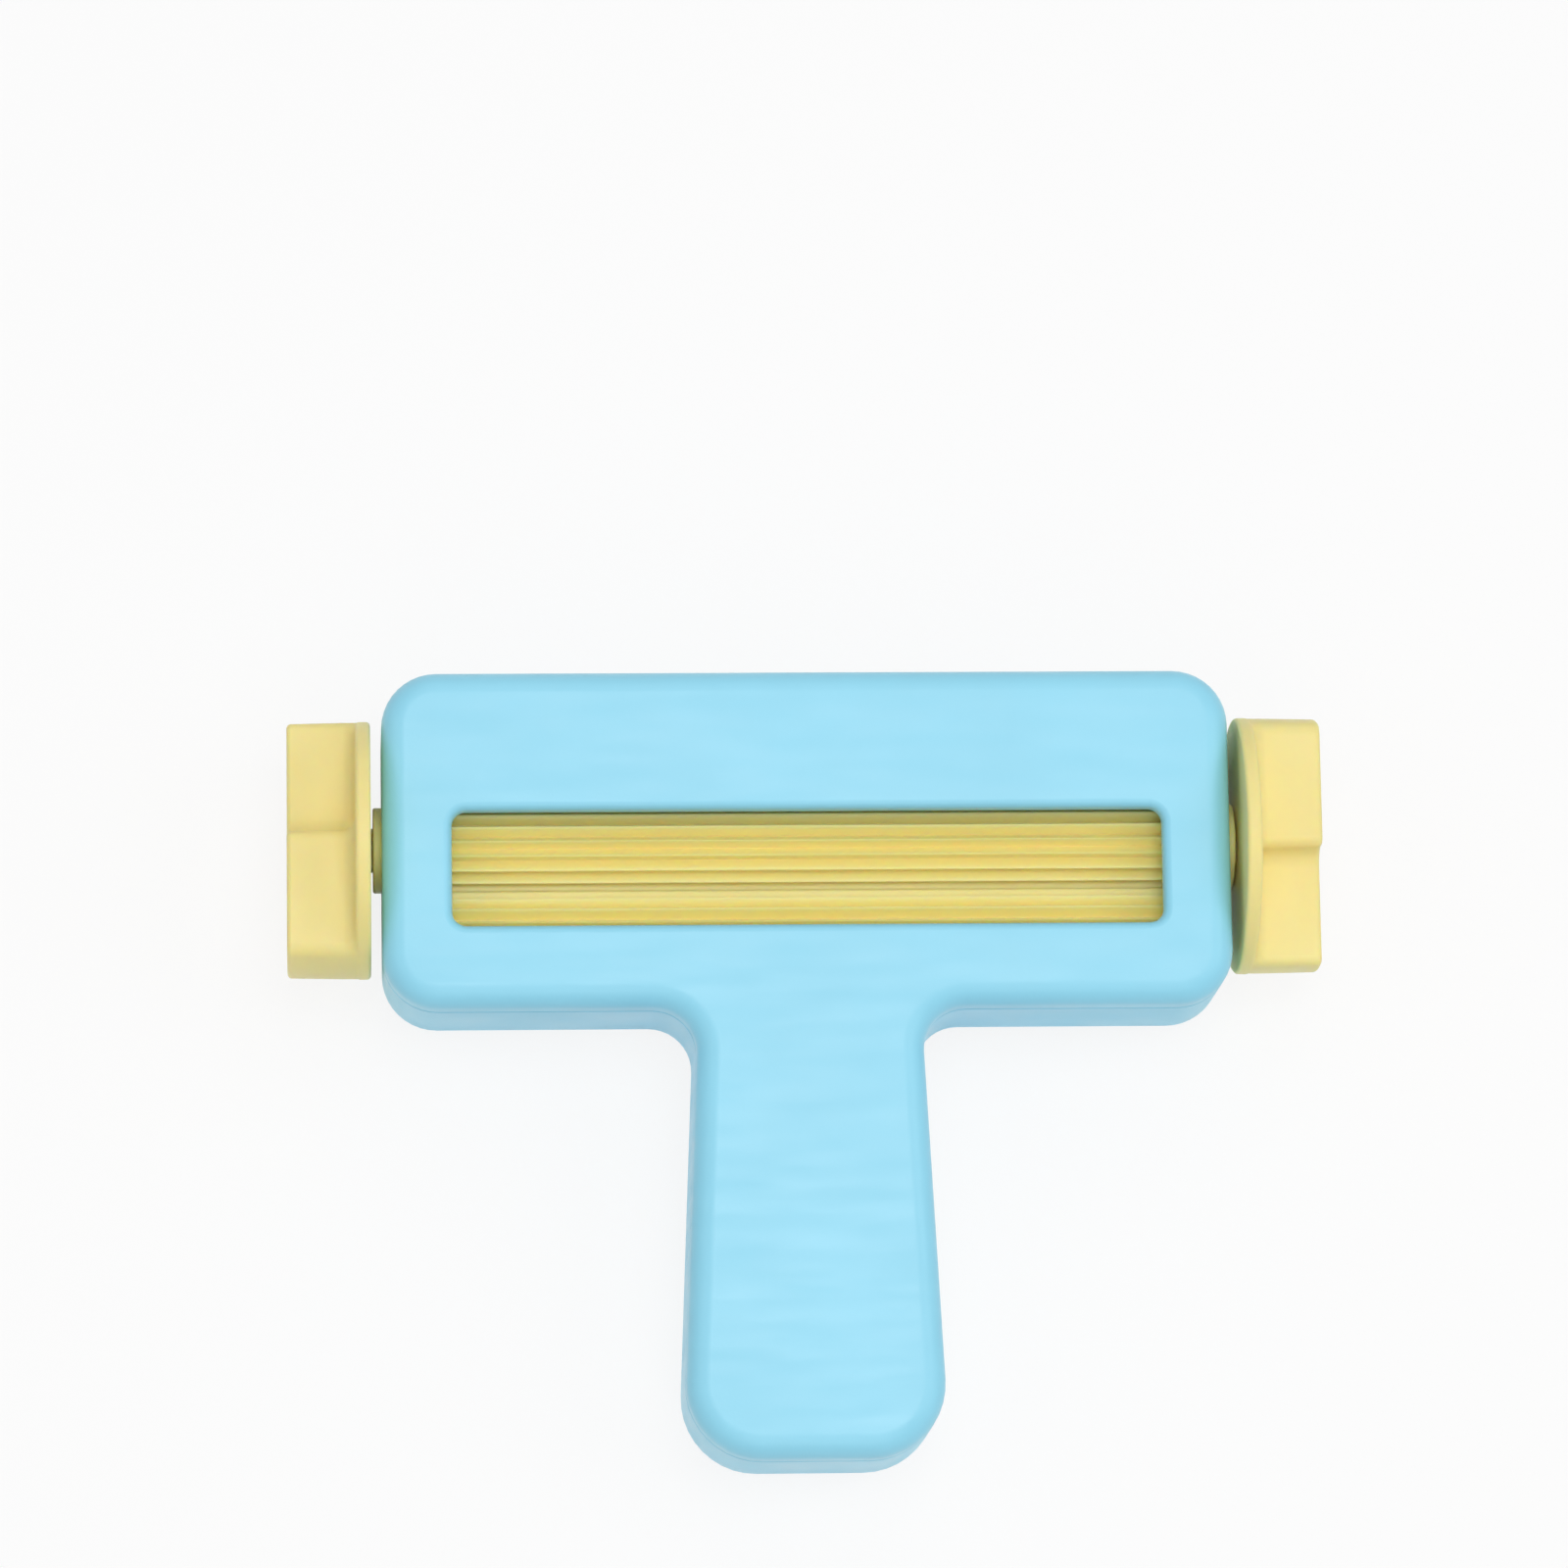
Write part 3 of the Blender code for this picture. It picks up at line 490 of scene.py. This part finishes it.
# %% Building the inside of each half
SINK = 0.0005
HANDLE_RIB_HALF = 0.0007
HANDLE_RIB_HEIGHT = 0.0040
SHORT_OF_RIM = 0.0002


def handle_rib_places():
    """Three ribs spread evenly between the neck screws and the end screw."""
    first = screw_spots[3][1] - POST_RADIUS
    last = screw_spots[5][1] + POST_RADIUS
    slant = (END_HALF - NECK_HALF) / (HEAD_BOTTOM - HANDLE_END)
    places = []
    for index in (1, 2, 3):
        y = first + (last - first) * index / 4
        places.append((y, NECK_HALF - WALL + SINK + slant * (HEAD_BOTTOM - y)))
    return places


def fit_inside(half, low, high, rib_low, rib_high):
    """Join plates, posts and handle ribs to one half, between two heights."""
    corner = (PLATE_START, HEAD_BOTTOM + WALL - SINK, low)
    for lowest, highest in both_sides(corner, (PLATE_END, HEAD_TOP - WALL + SINK, high)):
        shape(half, block("plate", lowest, highest), "UNION")
    for x, y in screw_spots:
        shape(half, rod("post", POST_RADIUS, low, high, x, y), "UNION")
    for y, reach in handle_rib_places():
        start, end = y - HANDLE_RIB_HALF, y + HANDLE_RIB_HALF
        shape(half, block("rib", (-reach, start, rib_low), (reach, end, rib_high)), "UNION")


inner_back = BACK + WALL
inner_front = FRONT - WALL
rim_low = PARTING - SEAM_GAP - SHORT_OF_RIM
rim_high = PARTING + SEAM_GAP + SHORT_OF_RIM
back_floor = inner_back - SINK
fit_inside(back_half, back_floor, rim_low, back_floor, inner_back + HANDLE_RIB_HEIGHT)
fit_inside(front_half, rim_high, inner_front + SINK, rim_high, inner_front + SINK)
print("inside:", len(back_half.data.polygons), len(front_half.data.polygons), "faces")

# %% [markdown]
# The front half also has short tabs that drop just inside the back half's walls, and a tongue
# over each small journal of the lower roller, which keeps that roller in its open seat.

# %% Locating tabs and journal tongues on the front half
TAB_REACH = 0.0020
TAB_THICKNESS = 0.0012
TAB_HALF = 0.003
STUB_RADIUS = 0.0035
TONGUE_GAP = 0.0002


def front_tabs():
    """Lowest and highest corners of the tabs and tongues."""
    low, high = PARTING - TAB_REACH, inner_front + SINK
    top = HEAD_TOP - WALL - RUNNING_GAP
    side = HEAD_HALF - WALL - RUNNING_GAP
    middle = screw_spots[2][0] / 2
    edge = HEAD_TOP - HEAD_CORNER
    end = HANDLE_END + WALL + RUNNING_GAP
    boxes = both_sides(
        (middle - TAB_HALF, top - TAB_THICKNESS, low), (middle + TAB_HALF, top, high))
    boxes += both_sides(
        (side - TAB_THICKNESS, edge - 2 * TAB_HALF, low), (side, edge, high))
    boxes.append(((-TAB_HALF, end, low), (TAB_HALF, end + TAB_THICKNESS, high)))
    boxes += both_sides(
        (PLATE_START + TONGUE_GAP, DRIVEN_Y - STUB_RADIUS, AXIS_Z + STUB_RADIUS + RUNNING_GAP),
        (PLATE_END - TONGUE_GAP, DRIVEN_Y + STUB_RADIUS, rim_high + SINK))
    return boxes


for lowest, highest in front_tabs():
    shape(front_half, block("tab", lowest, highest), "UNION")
print("front half with tabs:", len(front_half.data.polygons), "faces")

# %% [markdown]
# ## The long window
#
# The window goes through both faces. On the real crimper its edge isn't a plain cut: the face
# rolls over into the opening, and that soft lip catches a thin light line below and a shade
# above. The cutter is a loft again, straight in the middle and flaring out at both faces along
# a quarter circle.

# %% Cutting the window with its rolled lip
LIP_ROUND = 0.0012
WINDOW_CORNER = 0.0018


def window_ring(spread_out, height):
    """The window's rounded rectangle, larger by a distance, at a height."""
    x, y = WINDOW_HALF_WIDTH + spread_out, WINDOW_HALF_HEIGHT + spread_out
    corners = [(sx * x, sy * y, WINDOW_CORNER + spread_out)
               for sx, sy in ((1, 1), (-1, 1), (-1, -1), (1, -1))]
    return [(px, WINDOW_Y + py, height) for px, py in rounded_outline(corners, 8)]


def window_cutter(name, face, inside):
    """The opening through one face, flared out where it meets the face."""
    up = 1 if face > inside else -1
    rings = [window_ring(0, inside)]
    for depth, inset in quarter_round(LIP_ROUND, 7):
        rings.append(window_ring(inset, face - up * depth))
    rings[-1] = window_ring(LIP_ROUND * 0.995, face + up * 0.00001)
    rings.append(window_ring(LIP_ROUND, face + up * PASS))
    return loft(name, rings)


shape(back_half, window_cutter("back window", BACK, AXIS_Z), "DIFFERENCE")
shape(front_half, window_cutter("front window", FRONT, AXIS_Z), "DIFFERENCE")
print("window cut:", len(back_half.data.polygons), len(front_half.data.polygons), "faces")

# %% [markdown]
# ## Seats for the rollers and holes for the screws
#
# The upper roller's journals lie in round seats that are open at the top, so the roller drops in
# before the front half goes on. A seat is a half circle with straight sides. The screws come in
# from the back through stepped holes: wide for the head, narrow for the shank.

# %% Cutting the seats
SEAT_START = BARREL_HALF + 0.0001
DRIVE_SEAT_RADIUS = 0.00575
DRIVEN_SEAT_RADIUS = 0.0038
STUB_ROOM = 0.0022


def seat(name, radius, axis_y, start, end, side):
    """A U-shaped cutter along one roller's axis between two distances from the middle."""
    angles = [math.pi * (1 + step / 24) for step in range(25)]
    outline = [(radius * math.cos(angle), radius * math.sin(angle)) for angle in angles]
    outline += [(radius, FRONT - AXIS_Z), (-radius, FRONT - AXIS_Z)]
    rings = [[(side * x, axis_y + py, AXIS_Z + pz) for py, pz in outline] for x in (start, end)]
    return loft(name, rings)


for side in (-1, 1):
    wide = seat("drive seat", DRIVE_SEAT_RADIUS, DRIVE_Y, SEAT_START, HEAD_HALF + PASS, side)
    small_end = PLATE_END + STUB_ROOM
    small = seat("driven seat", DRIVEN_SEAT_RADIUS, DRIVEN_Y, SEAT_START, small_end, side)
    shape(back_half, wide, "DIFFERENCE")
    shape(back_half, small, "DIFFERENCE")
print("seats cut:", len(back_half.data.polygons), "faces")

# %% Drilling the screw holes
PILOT_STOP = FRONT - 0.0031
for x, y in screw_spots:
    head_hole = rod("head hole", SCREW_HEAD_HOLE, BACK - PASS, SCREW_SEAT, x, y, 32)
    shank_hole = rod("shank hole", SCREW_HOLE, BACK, PARTING + PASS, x, y)
    pilot_hole = rod("pilot hole", SCREW_HOLE, AXIS_Z, PILOT_STOP, x, y)
    shape(back_half, head_hole, "DIFFERENCE")
    shape(back_half, shank_hole, "DIFFERENCE")
    shape(front_half, pilot_hole, "DIFFERENCE")
print("drilled:", len(back_half.data.polygons), len(front_half.data.polygons), "faces")

# %% Finishing both halves of the case
smooth(back_half)
smooth(front_half)
hand_over(back_half, "back_shell", "case", case_plastic)
hand_over(front_half, "front_shell", "case", case_plastic)

# %% [markdown]
# ## The ribbed rollers
#
# Each roller is a plastic barrel with twenty rounded ribs along it. The ribs of one run in the
# grooves of the other, and that presses the waves into the paper. Across the barrel the ribs
# are a smooth wave, so one ring of the loft is a circle whose radius follows a cosine. The ends
# are chamfered by two smaller rings.

# %% A ring of ribs
RIBS = 20
RIB_DEPTH = 0.0014
ROLLER_RADIUS = (drive_box[1].z - drive_box[0].z) / 2


def rib_ring(along, axis_y, crest_angle, shrink):
    """One ring of the barrel at a distance along its axis, smaller by a distance."""
    count = RIBS * 16
    ring = []
    for step in range(count):
        angle = math.tau * step / count
        wave = (1 - math.cos(RIBS * angle)) / 2
        radius = min(ROLLER_RADIUS - RIB_DEPTH * wave ** 0.9, ROLLER_RADIUS - shrink)
        turned = angle + crest_angle
        ring.append((along, axis_y + radius * math.cos(turned), AXIS_Z + radius * math.sin(turned)))
    return ring


def along_axis(name, radius, sides, start, end, axis_y, turn=0.0):
    """A prism or round bar along the rollers' direction."""
    angles = [math.tau * step / sides + turn for step in range(sides)]
    outline = [(radius * math.cos(angle), radius * math.sin(angle)) for angle in angles]
    return loft(name, [[(x, axis_y + py, AXIS_Z + pz) for py, pz in outline] for x in (start, end)])


print("one ring has", len(rib_ring(0, 0, 0, 0)), "points")

# %% [markdown]
# The rollers must be in mesh at rest: a crest of the upper one points straight down at a groove
# of the lower one. Turning either outline by half a rib would make them collide.

# %% Both barrels
HEX_RADIUS = 0.0060 / 2 / math.cos(math.pi / 6)
END_CHAMFER = 0.0006


def make_barrel(name, axis_y, crest_angle):
    """A ribbed barrel with chamfered ends and a hexagonal bore."""
    rings = []
    for along, shrink in ((BARREL_HALF, END_CHAMFER), (BARREL_HALF - END_CHAMFER, 0.0)):
        rings.append(rib_ring(-along, axis_y, crest_angle, shrink))
    for along, shrink in ((BARREL_HALF - END_CHAMFER, 0.0), (BARREL_HALF, END_CHAMFER)):
        rings.append(rib_ring(along, axis_y, crest_angle, shrink))
    barrel = loft(name, rings)
    bore = along_axis("bore", HEX_RADIUS, 6, -BARREL_HALF - PASS, BARREL_HALF + PASS, axis_y)
    return smooth(shape(barrel, bore, "DIFFERENCE"), 40)


upper = make_barrel("upper_roller", DRIVE_Y, math.pi)
lower = make_barrel("lower_roller", DRIVEN_Y, math.pi / RIBS)
hand_over(upper, "drive_roller", "drive_set", roller_plastic)
hand_over(lower, "driven_roller", "driven_set", roller_plastic)

# %% [markdown]
# ## End plugs
#
# A plug closes each end of a barrel. Its hexagonal spigot goes into the bore, and its round
# journal turns in the case. The upper roller's plugs run out through the case and end in a
# square stub that turns the knob. Round pieces are lofts of circles: a profile of distances and
# radii says how large each circle is.

# %% Round pieces along the rollers' direction
def turned(name, profile, side, axis_y, sides=48):
    """A solid of circles: the profile gives distance from the middle and radius."""
    rings = []
    for along, radius in profile:
        rings.append([(side * along, axis_y + py, AXIS_Z + pz) for py, pz in circle(radius, sides)])
    return loft(name, rings)


def softened_bar(start, end, radius, edge):
    """The profile of a round bar with both edges rounded."""
    first = [(start + depth, radius - inset) for depth, inset in reversed(quarter_round(edge, 4))]
    last = [(end - depth, radius - inset) for depth, inset in quarter_round(edge, 4)]
    return first + last


print(softened_bar(0, 1, 1, 0.1)[:2])

# %% The four plugs
COLLAR_START = BARREL_HALF + RUNNING_GAP
JOURNAL_RADIUS = 0.00545
JOURNAL_EDGE = 0.0003
SPIGOT_LENGTH = 0.0080
SPIGOT_GAP = 0.00035
SQUARE_LENGTH = 0.0058
SQUARE_HALF = 0.0024
THREAD_DEPTH = 0.0055
THREAD_RADIUS = 0.0013


def make_plug(name, side, axis_y, radius, end):
    """A journal with its hexagonal spigot."""
    plug = turned(name, softened_bar(COLLAR_START, end, radius, JOURNAL_EDGE), side, axis_y)
    inner, outer = COLLAR_START - SPIGOT_LENGTH, COLLAR_START + SINK
    low, high = sorted((side * inner, side * outer))
    spigot = along_axis("spigot", HEX_RADIUS - SPIGOT_GAP, 6, low, high, axis_y)
    return shape(plug, spigot, "UNION")


for side, label in ((-1, "left"), (1, "right")):
    stub_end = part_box(f"drive_journal_{label}")[1 if side > 0 else 0].x * side
    collar_end = stub_end - SQUARE_LENGTH
    plug = make_plug(f"{label}_drive_plug", side, DRIVE_Y, JOURNAL_RADIUS, collar_end)
    low, high = sorted((side * (collar_end - SINK), side * stub_end))
    stub = along_axis("stub", SQUARE_HALF * math.sqrt(2), 4, low, high, DRIVE_Y, math.pi / 4)
    shape(plug, stub, "UNION")
    low, high = sorted((side * (stub_end - THREAD_DEPTH), side * (stub_end + PASS)))
    thread_hole = along_axis("thread hole", THREAD_RADIUS, 20, low, high, DRIVE_Y)
    shape(plug, thread_hole, "DIFFERENCE")
    hand_over(smooth(plug), f"drive_journal_{label}", "drive_set", roller_plastic)
    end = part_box(f"driven_journal_{label}")[1 if side > 0 else 0].x * side
    small = smooth(make_plug(f"{label}_driven_plug", side, DRIVEN_Y, STUB_RADIUS, end))
    hand_over(small, f"driven_journal_{label}", "driven_set", roller_plastic)

# %% [markdown]
# ## The knobs
#
# A knob is a thin round rim with an S-shaped grip standing on it. Seen along the axis the grip
# is two flat halves, one near and one far, that lap at the middle and give the fingers an edge
# to push. On the real one the grip runs into the rim over a soft inner round, and all outer
# edges are broken. Both are offsets of the S outline, so the grip is one loft from the rim to
# its outer end.

# %% The S outline and its offsets
GRIP_START = KNOB_START + 0.0019
GRIP_INSET = 0.00008
GRIP_REACH = 0.0078
GRIP_LOW = GRIP_REACH - 0.0043
GRIP_LAP = 0.0015
NEAR_CORNER = 0.0022
FAR_CORNER = 0.0012
LAP_CORNER = 0.0014
LAP_HOLLOW = 0.0020


def arc(x, y, radius, first, last, steps=6):
    """Points of an arc round a centre, from one angle to another."""
    angles = [first + (last - first) * step / steps for step in range(steps + 1)]
    return [(x + radius * math.cos(angle), y + radius * math.sin(angle)) for angle in angles]


def grip_ring(along, offset, side):
    """The S outline moved out by an offset, kept within the rim, at a distance along."""
    end = RIM_RADIUS - GRIP_INSET + min(offset, 0)
    near_y, far_y = GRIP_REACH - NEAR_CORNER, FAR_CORNER - GRIP_LOW
    near, far = NEAR_CORNER + offset, FAR_CORNER + offset
    near_x = math.sqrt((end - near) ** 2 - near_y ** 2)
    far_x = math.sqrt((end - far) ** 2 - far_y ** 2)
    near_turn, far_turn = math.atan2(near_y, near_x), math.atan2(far_y, far_x)
    quarter = math.pi / 2
    half = arc(far_x, far_y, far, -quarter, far_turn)
    half += arc(0, 0, end, far_turn, near_turn, 12)[1:-1]
    half += arc(near_x, near_y, near, near_turn, quarter)
    half += arc(LAP_CORNER - GRIP_LAP, GRIP_REACH - LAP_CORNER, LAP_CORNER + offset, quarter, math.pi)
    half += arc(-GRIP_LAP - LAP_HOLLOW, GRIP_LOW + LAP_HOLLOW, LAP_HOLLOW - offset, 0, -quarter)
    outline = half + [(-x, -y) for x, y in half]
    return [(side * along, DRIVE_Y + side * x, AXIS_Z + y) for x, y in outline]


print(len(grip_ring(0, 0, 1)), "points round the grip")

# %% Rim and grip of both knobs
GRIP_FILLET = 0.0016
GRIP_EDGE = 0.0006
DRAFT = 0.00012
RIM_EDGE = 0.0005
RECESS_DEPTH = 0.0033
RECESS_RADIUS = 0.0028
RECESS_MOUTH = 0.0032
SCREW_PASSAGE = 0.0013
WEB = 0.0015
SOCKET_HALF = 0.0027


def make_knob(name, side):
    """Rim and grip joined, with the screw's recess and the square socket cut out."""
    rim = softened_bar(KNOB_START, GRIP_START, RIM_RADIUS, RIM_EDGE)
    knob = turned(name, rim, side, DRIVE_Y, 96)
    rings = [grip_ring(GRIP_START - 0.0008, GRIP_FILLET, side)]
    for depth, inset in reversed(quarter_round(GRIP_FILLET, 6)):
        rings.append(grip_ring(GRIP_START + depth + 0.00001, inset, side))
    for depth, inset in quarter_round(GRIP_EDGE, 5):
        rings.append(grip_ring(KNOB_END - depth, -inset - DRAFT, side))
    shape(knob, loft("grip", rings), "UNION")
    web = KNOB_END - RECESS_DEPTH
    recess = [(web, RECESS_RADIUS), (KNOB_END - 0.0003, RECESS_RADIUS)]
    recess += [(KNOB_END + 0.0001, RECESS_MOUTH), (KNOB_END + PASS, RECESS_MOUTH)]
    shape(knob, turned("recess", recess, side, DRIVE_Y, 40), "DIFFERENCE")
    hole = [(web - 2 * WEB, SCREW_PASSAGE), (web + 0.001, SCREW_PASSAGE)]
    shape(knob, turned("hole", hole, side, DRIVE_Y, 24), "DIFFERENCE")
    low, high = sorted((side * (KNOB_START - PASS), side * (web - WEB)))
    socket = along_axis("socket", SOCKET_HALF * math.sqrt(2), 4, low, high, DRIVE_Y, math.pi / 4)
    return smooth(shape(knob, socket, "DIFFERENCE"), 36)


for side, label in ((-1, "left"), (1, "right")):
    knob = make_knob(f"{label}_grip_knob", side)
    hand_over(knob, f"{label}_knob", "drive_set", knob_plastic)

# %% [markdown]
# ## Screws and washers
#
# A screw is a loft too. The head is a low dome, and the thread is a stack of circles whose
# radius rises and falls along a spiral: each point's height and angle decide whether it is on
# the crest. The cross recess is cut out of the head with two bars.

# %% A screw in its own coordinates
CASE_SCREW = (0.0014, 0.0130, 0.0027, 0.0020, 0.0011)
KNOB_SCREW = (0.0010, 0.0075, 0.0022, 0.0016, 0.0008)
CROSS_HALF = 0.0004
CROSS_REACH = 0.62


def screw_rings(shank, length, head, height, pitch):
    """Rings of a pan-head screw, head up at z = 0 and shank down."""
    sides = 20
    rings = []
    for step in range(int(length / pitch * 6) + 1):
        z = -length + step * pitch / 6
        taper = min(1.0, 0.35 + 0.65 * (z + length) / (2 * shank))
        ring = []
        for px, py in circle(1.0, sides):
            phase = (z / pitch - math.atan2(py, px) / math.tau) % 1
            radius = shank * taper * (1 - 0.22 * abs(2 * phase - 1))
            ring.append((px * radius, py * radius, min(z, 0)))
        rings.append(ring)
    for z, radius in ((0, head * 0.94), (height * 0.08, head), (height * 0.5, head),
                      (height * 0.8, head * 0.86), (height * 0.95, head * 0.62), (height, head * 0.40)):
        rings.append([(px * radius, py * radius, z) for px, py in circle(1.0, sides)])
    return rings


def make_screw(name, sizes, place):
    """A screw with its cross recess, moved to its place by a function of a point."""
    shank, length, head, height, pitch = sizes
    screw = loft(name, screw_rings(shank, length, head, height, pitch))
    for x, y in ((head * CROSS_REACH, CROSS_HALF), (CROSS_HALF, head * CROSS_REACH)):
        bar = block("slot", (-x, -y, height - 0.0010), (x, y, height + 0.001))
        shape(screw, bar, "DIFFERENCE")
    for vertex in screw.data.vertices:
        vertex.co = place(vertex.co.copy())
    screw.data.update()
    return smooth(screw, 30)


print(len(screw_rings(*CASE_SCREW)), "rings in a case screw")

# %% Six screws that close the case from the back
for number, (x, y) in enumerate(screw_spots, 1):
    head_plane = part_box(f"case_screw_{number}")[0].z + CASE_SCREW[3]

    def upside_down(point, x=x, y=y, z=head_plane):
        """Turn a point of the screw over, head to the back."""
        return Vector((x + point.x, y - point.y, z - point.z))

    screw = make_screw(f"back_screw_{number}", CASE_SCREW, upside_down)
    hand_over(screw, f"case_screw_{number}", "case", steel)

# %% The knob screws and their washers
WASHER_HOLE = 0.0013
WASHER_RADIUS = 0.0025
WASHER_EDGE = 0.0001
for side, label in ((-1, "left"), (1, "right")):
    head_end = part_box(f"{label}_knob_screw")[1 if side > 0 else 0].x * side

    def sideways(point, side=side, start=head_end - KNOB_SCREW[3]):
        """Lay a point of the screw along the roller, head outwards."""
        return Vector((side * (start + point.z), DRIVE_Y + side * point.x, AXIS_Z + point.y))

    screw = make_screw(f"{label}_grip_screw", KNOB_SCREW, sideways)
    hand_over(screw, f"{label}_knob_screw", "drive_set", steel)
    low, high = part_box(f"{label}_knob_washer")
    inner, outer = (low.x, high.x) if side > 0 else (-high.x, -low.x)
    section = [(inner, WASHER_HOLE), (outer, WASHER_HOLE), (outer, WASHER_RADIUS - WASHER_EDGE)]
    section += [(outer - WASHER_EDGE, WASHER_RADIUS), (inner, WASHER_RADIUS)]
    rings = [[(side * along, DRIVE_Y + py, AXIS_Z + pz) for py, pz in circle(radius, 32)]
             for along, radius in section]
    washer = smooth(loft(f"{label}_grip_washer", rings, closed=True))
    hand_over(washer, f"{label}_knob_washer", "drive_set", steel)

# %% [markdown]
# ## The table it lies on
#
# Lying face up, the crimper rests on the round rims of its knobs and on the end of its handle,
# so the table touches both. The knobs are larger than the case is thick, which tips the case by
# about four degrees. The table keeps the object's soft shadow, and shows almost white to the
# camera, to reflections and through clear things. The world behind it does the same.

# %% Which rays see plain white
def seen_directly(tree):
    """One for rays from the camera, from a reflection or through something clear, else zero."""
    path = tree.nodes.new("ShaderNodeLightPath")
    seen = path.outputs["Is Camera Ray"]
    for kind in ("Is Glossy Ray", "Is Transmission Ray"):
        either = tree.nodes.new("ShaderNodeMath")
        either.operation = "MAXIMUM"
        tree.links.new(seen, either.inputs[0])
        tree.links.new(path.outputs[kind], either.inputs[1])
        seen = either.outputs["Value"]
    return seen


print("seen_directly is ready")

# %% Table
TABLE_GLOW = 0.85


def table_tilt():
    """The tilt and height at which a plane touches both the rims and the handle's end."""
    foot_y, foot_z = HANDLE_END + FACE_ROUND, BACK + FACE_ROUND
    span = DRIVE_Y - foot_y
    reach = math.hypot(span, AXIS_Z - foot_z)
    tilt = math.asin((RIM_RADIUS - FACE_ROUND) / reach) - math.atan2(AXIS_Z - foot_z, span)
    height = DRIVE_Y * math.sin(tilt) + AXIS_Z * math.cos(tilt) - RIM_RADIUS
    return tilt, height


tilt, height = table_tilt()
print(f"table tilted by {math.degrees(tilt):.2f} degrees, {height:.5f} m from the origin")
size = 3.0
corners = []
for x, v in ((-size, -size), (size, -size), (size, size), (-size, size)):
    corners.append((x, v * math.cos(tilt) + height * math.sin(tilt),
                    -v * math.sin(tilt) + height * math.cos(tilt)))
table_mesh = bpy.data.meshes.new("table")
table_mesh.from_pydata(corners, [], [(0, 1, 2, 3)])
table = bpy.data.objects.new("table", table_mesh)
bpy.context.scene.collection.objects.link(table)

white = bpy.data.materials.new("white table")
white.use_nodes = True
nodes, links = white.node_tree.nodes, white.node_tree.links
surface = nodes["Principled BSDF"]
surface.inputs["Base Color"].default_value = (0.92, 0.92, 0.92, 1)
surface.inputs["Roughness"].default_value = 0.8
glow = nodes.new("ShaderNodeEmission")
glow.inputs["Strength"].default_value = 1.0
share = nodes.new("ShaderNodeMath")
share.operation = "MULTIPLY"
share.inputs[1].default_value = TABLE_GLOW
links.new(seen_directly(white.node_tree), share.inputs[0])
both = nodes.new("ShaderNodeMixShader")
links.new(share.outputs["Value"], both.inputs["Fac"])
links.new(surface.outputs["BSDF"], both.inputs[1])
links.new(glow.outputs["Emission"], both.inputs[2])
links.new(both.outputs["Shader"], nodes["Material Output"].inputs["Surface"])
table_mesh.materials.append(white)

# %% [markdown]
# ## Light
#
# The photo is lit from all sides, as in a light tent, so faces are even, shadows are weak and a
# faint light line follows the rounded edges. Four soft lamps stand round the crimper and a fifth
# shines straight into the window, so that the grooves between the ribs stay light. A white world
# fills in between them.

# %% World and lamps
WORLD_LIGHT = 0.30

world = bpy.data.worlds.new("studio")
world.use_nodes = True
nodes, links = world.node_tree.nodes, world.node_tree.links
sky = nodes["Background"]
sky.inputs["Color"].default_value = (1, 1, 1, 1)
level = nodes.new("ShaderNodeMapRange")
level.inputs["To Min"].default_value = WORLD_LIGHT
links.new(seen_directly(world.node_tree), level.inputs["Value"])
links.new(level.outputs["Result"], sky.inputs["Strength"])
bpy.context.scene.world = world


def soft_lamp(name, place, size, power):
    """A square area lamp that looks at the crimper."""
    data = bpy.data.lights.new(name, "AREA")
    data.shape = "SQUARE"
    data.size = size
    data.energy = power
    lamp = bpy.data.objects.new(name, data)
    lamp.location = place
    lamp.rotation_euler = (Vector((0, 0, 0.02)) - Vector(place)).to_track_quat("-Z", "Y").to_euler()
    bpy.context.scene.collection.objects.link(lamp)


soft_lamp("top lamp", (0.05, 0.70, 0.75), 0.6, 1.1)
soft_lamp("right lamp", (0.75, 0.05, 0.75), 0.6, 1.9)
soft_lamp("left lamp", (-0.75, 0.00, 0.80), 0.6, 1.0)
soft_lamp("low lamp", (0.00, -0.62, 0.85), 0.6, 1.5)
soft_lamp("window lamp", (0.05, 0.08, 1.15), 0.5, 3.3)
print("lamps:", [lamp.name for lamp in bpy.data.lights])

# %% [markdown]
# ## Camera
#
# The camera looks at the front from slightly below and to the left, so that the head's lower
# wall shows as a narrow band. It stands about a metre away with a long lens, because the photo
# shows the knobs almost edge-on and none of the handle's left wall. The photo's own outline
# leans a little more than this camera makes it.

# %% Camera at the photo's viewing angle
camera_data = bpy.data.cameras.new("camera")
camera_data.sensor_width = 36
camera_data.lens = 181.89
camera = bpy.data.objects.new("camera", camera_data)
camera.location = (-0.05995, -0.15800, 1.00880)
axes = (
    (0.998369, 0.004893, -0.056874),
    (-0.015792, 0.981107, -0.192818),
    (0.054856, 0.193402, 0.979585),
)
camera.rotation_euler = Matrix(axes).to_euler()
bpy.context.scene.collection.objects.link(camera)
bpy.context.scene.camera = camera
bpy.context.scene.view_settings.view_transform = "Standard"
print("camera at", tuple(round(v, 4) for v in camera.location))
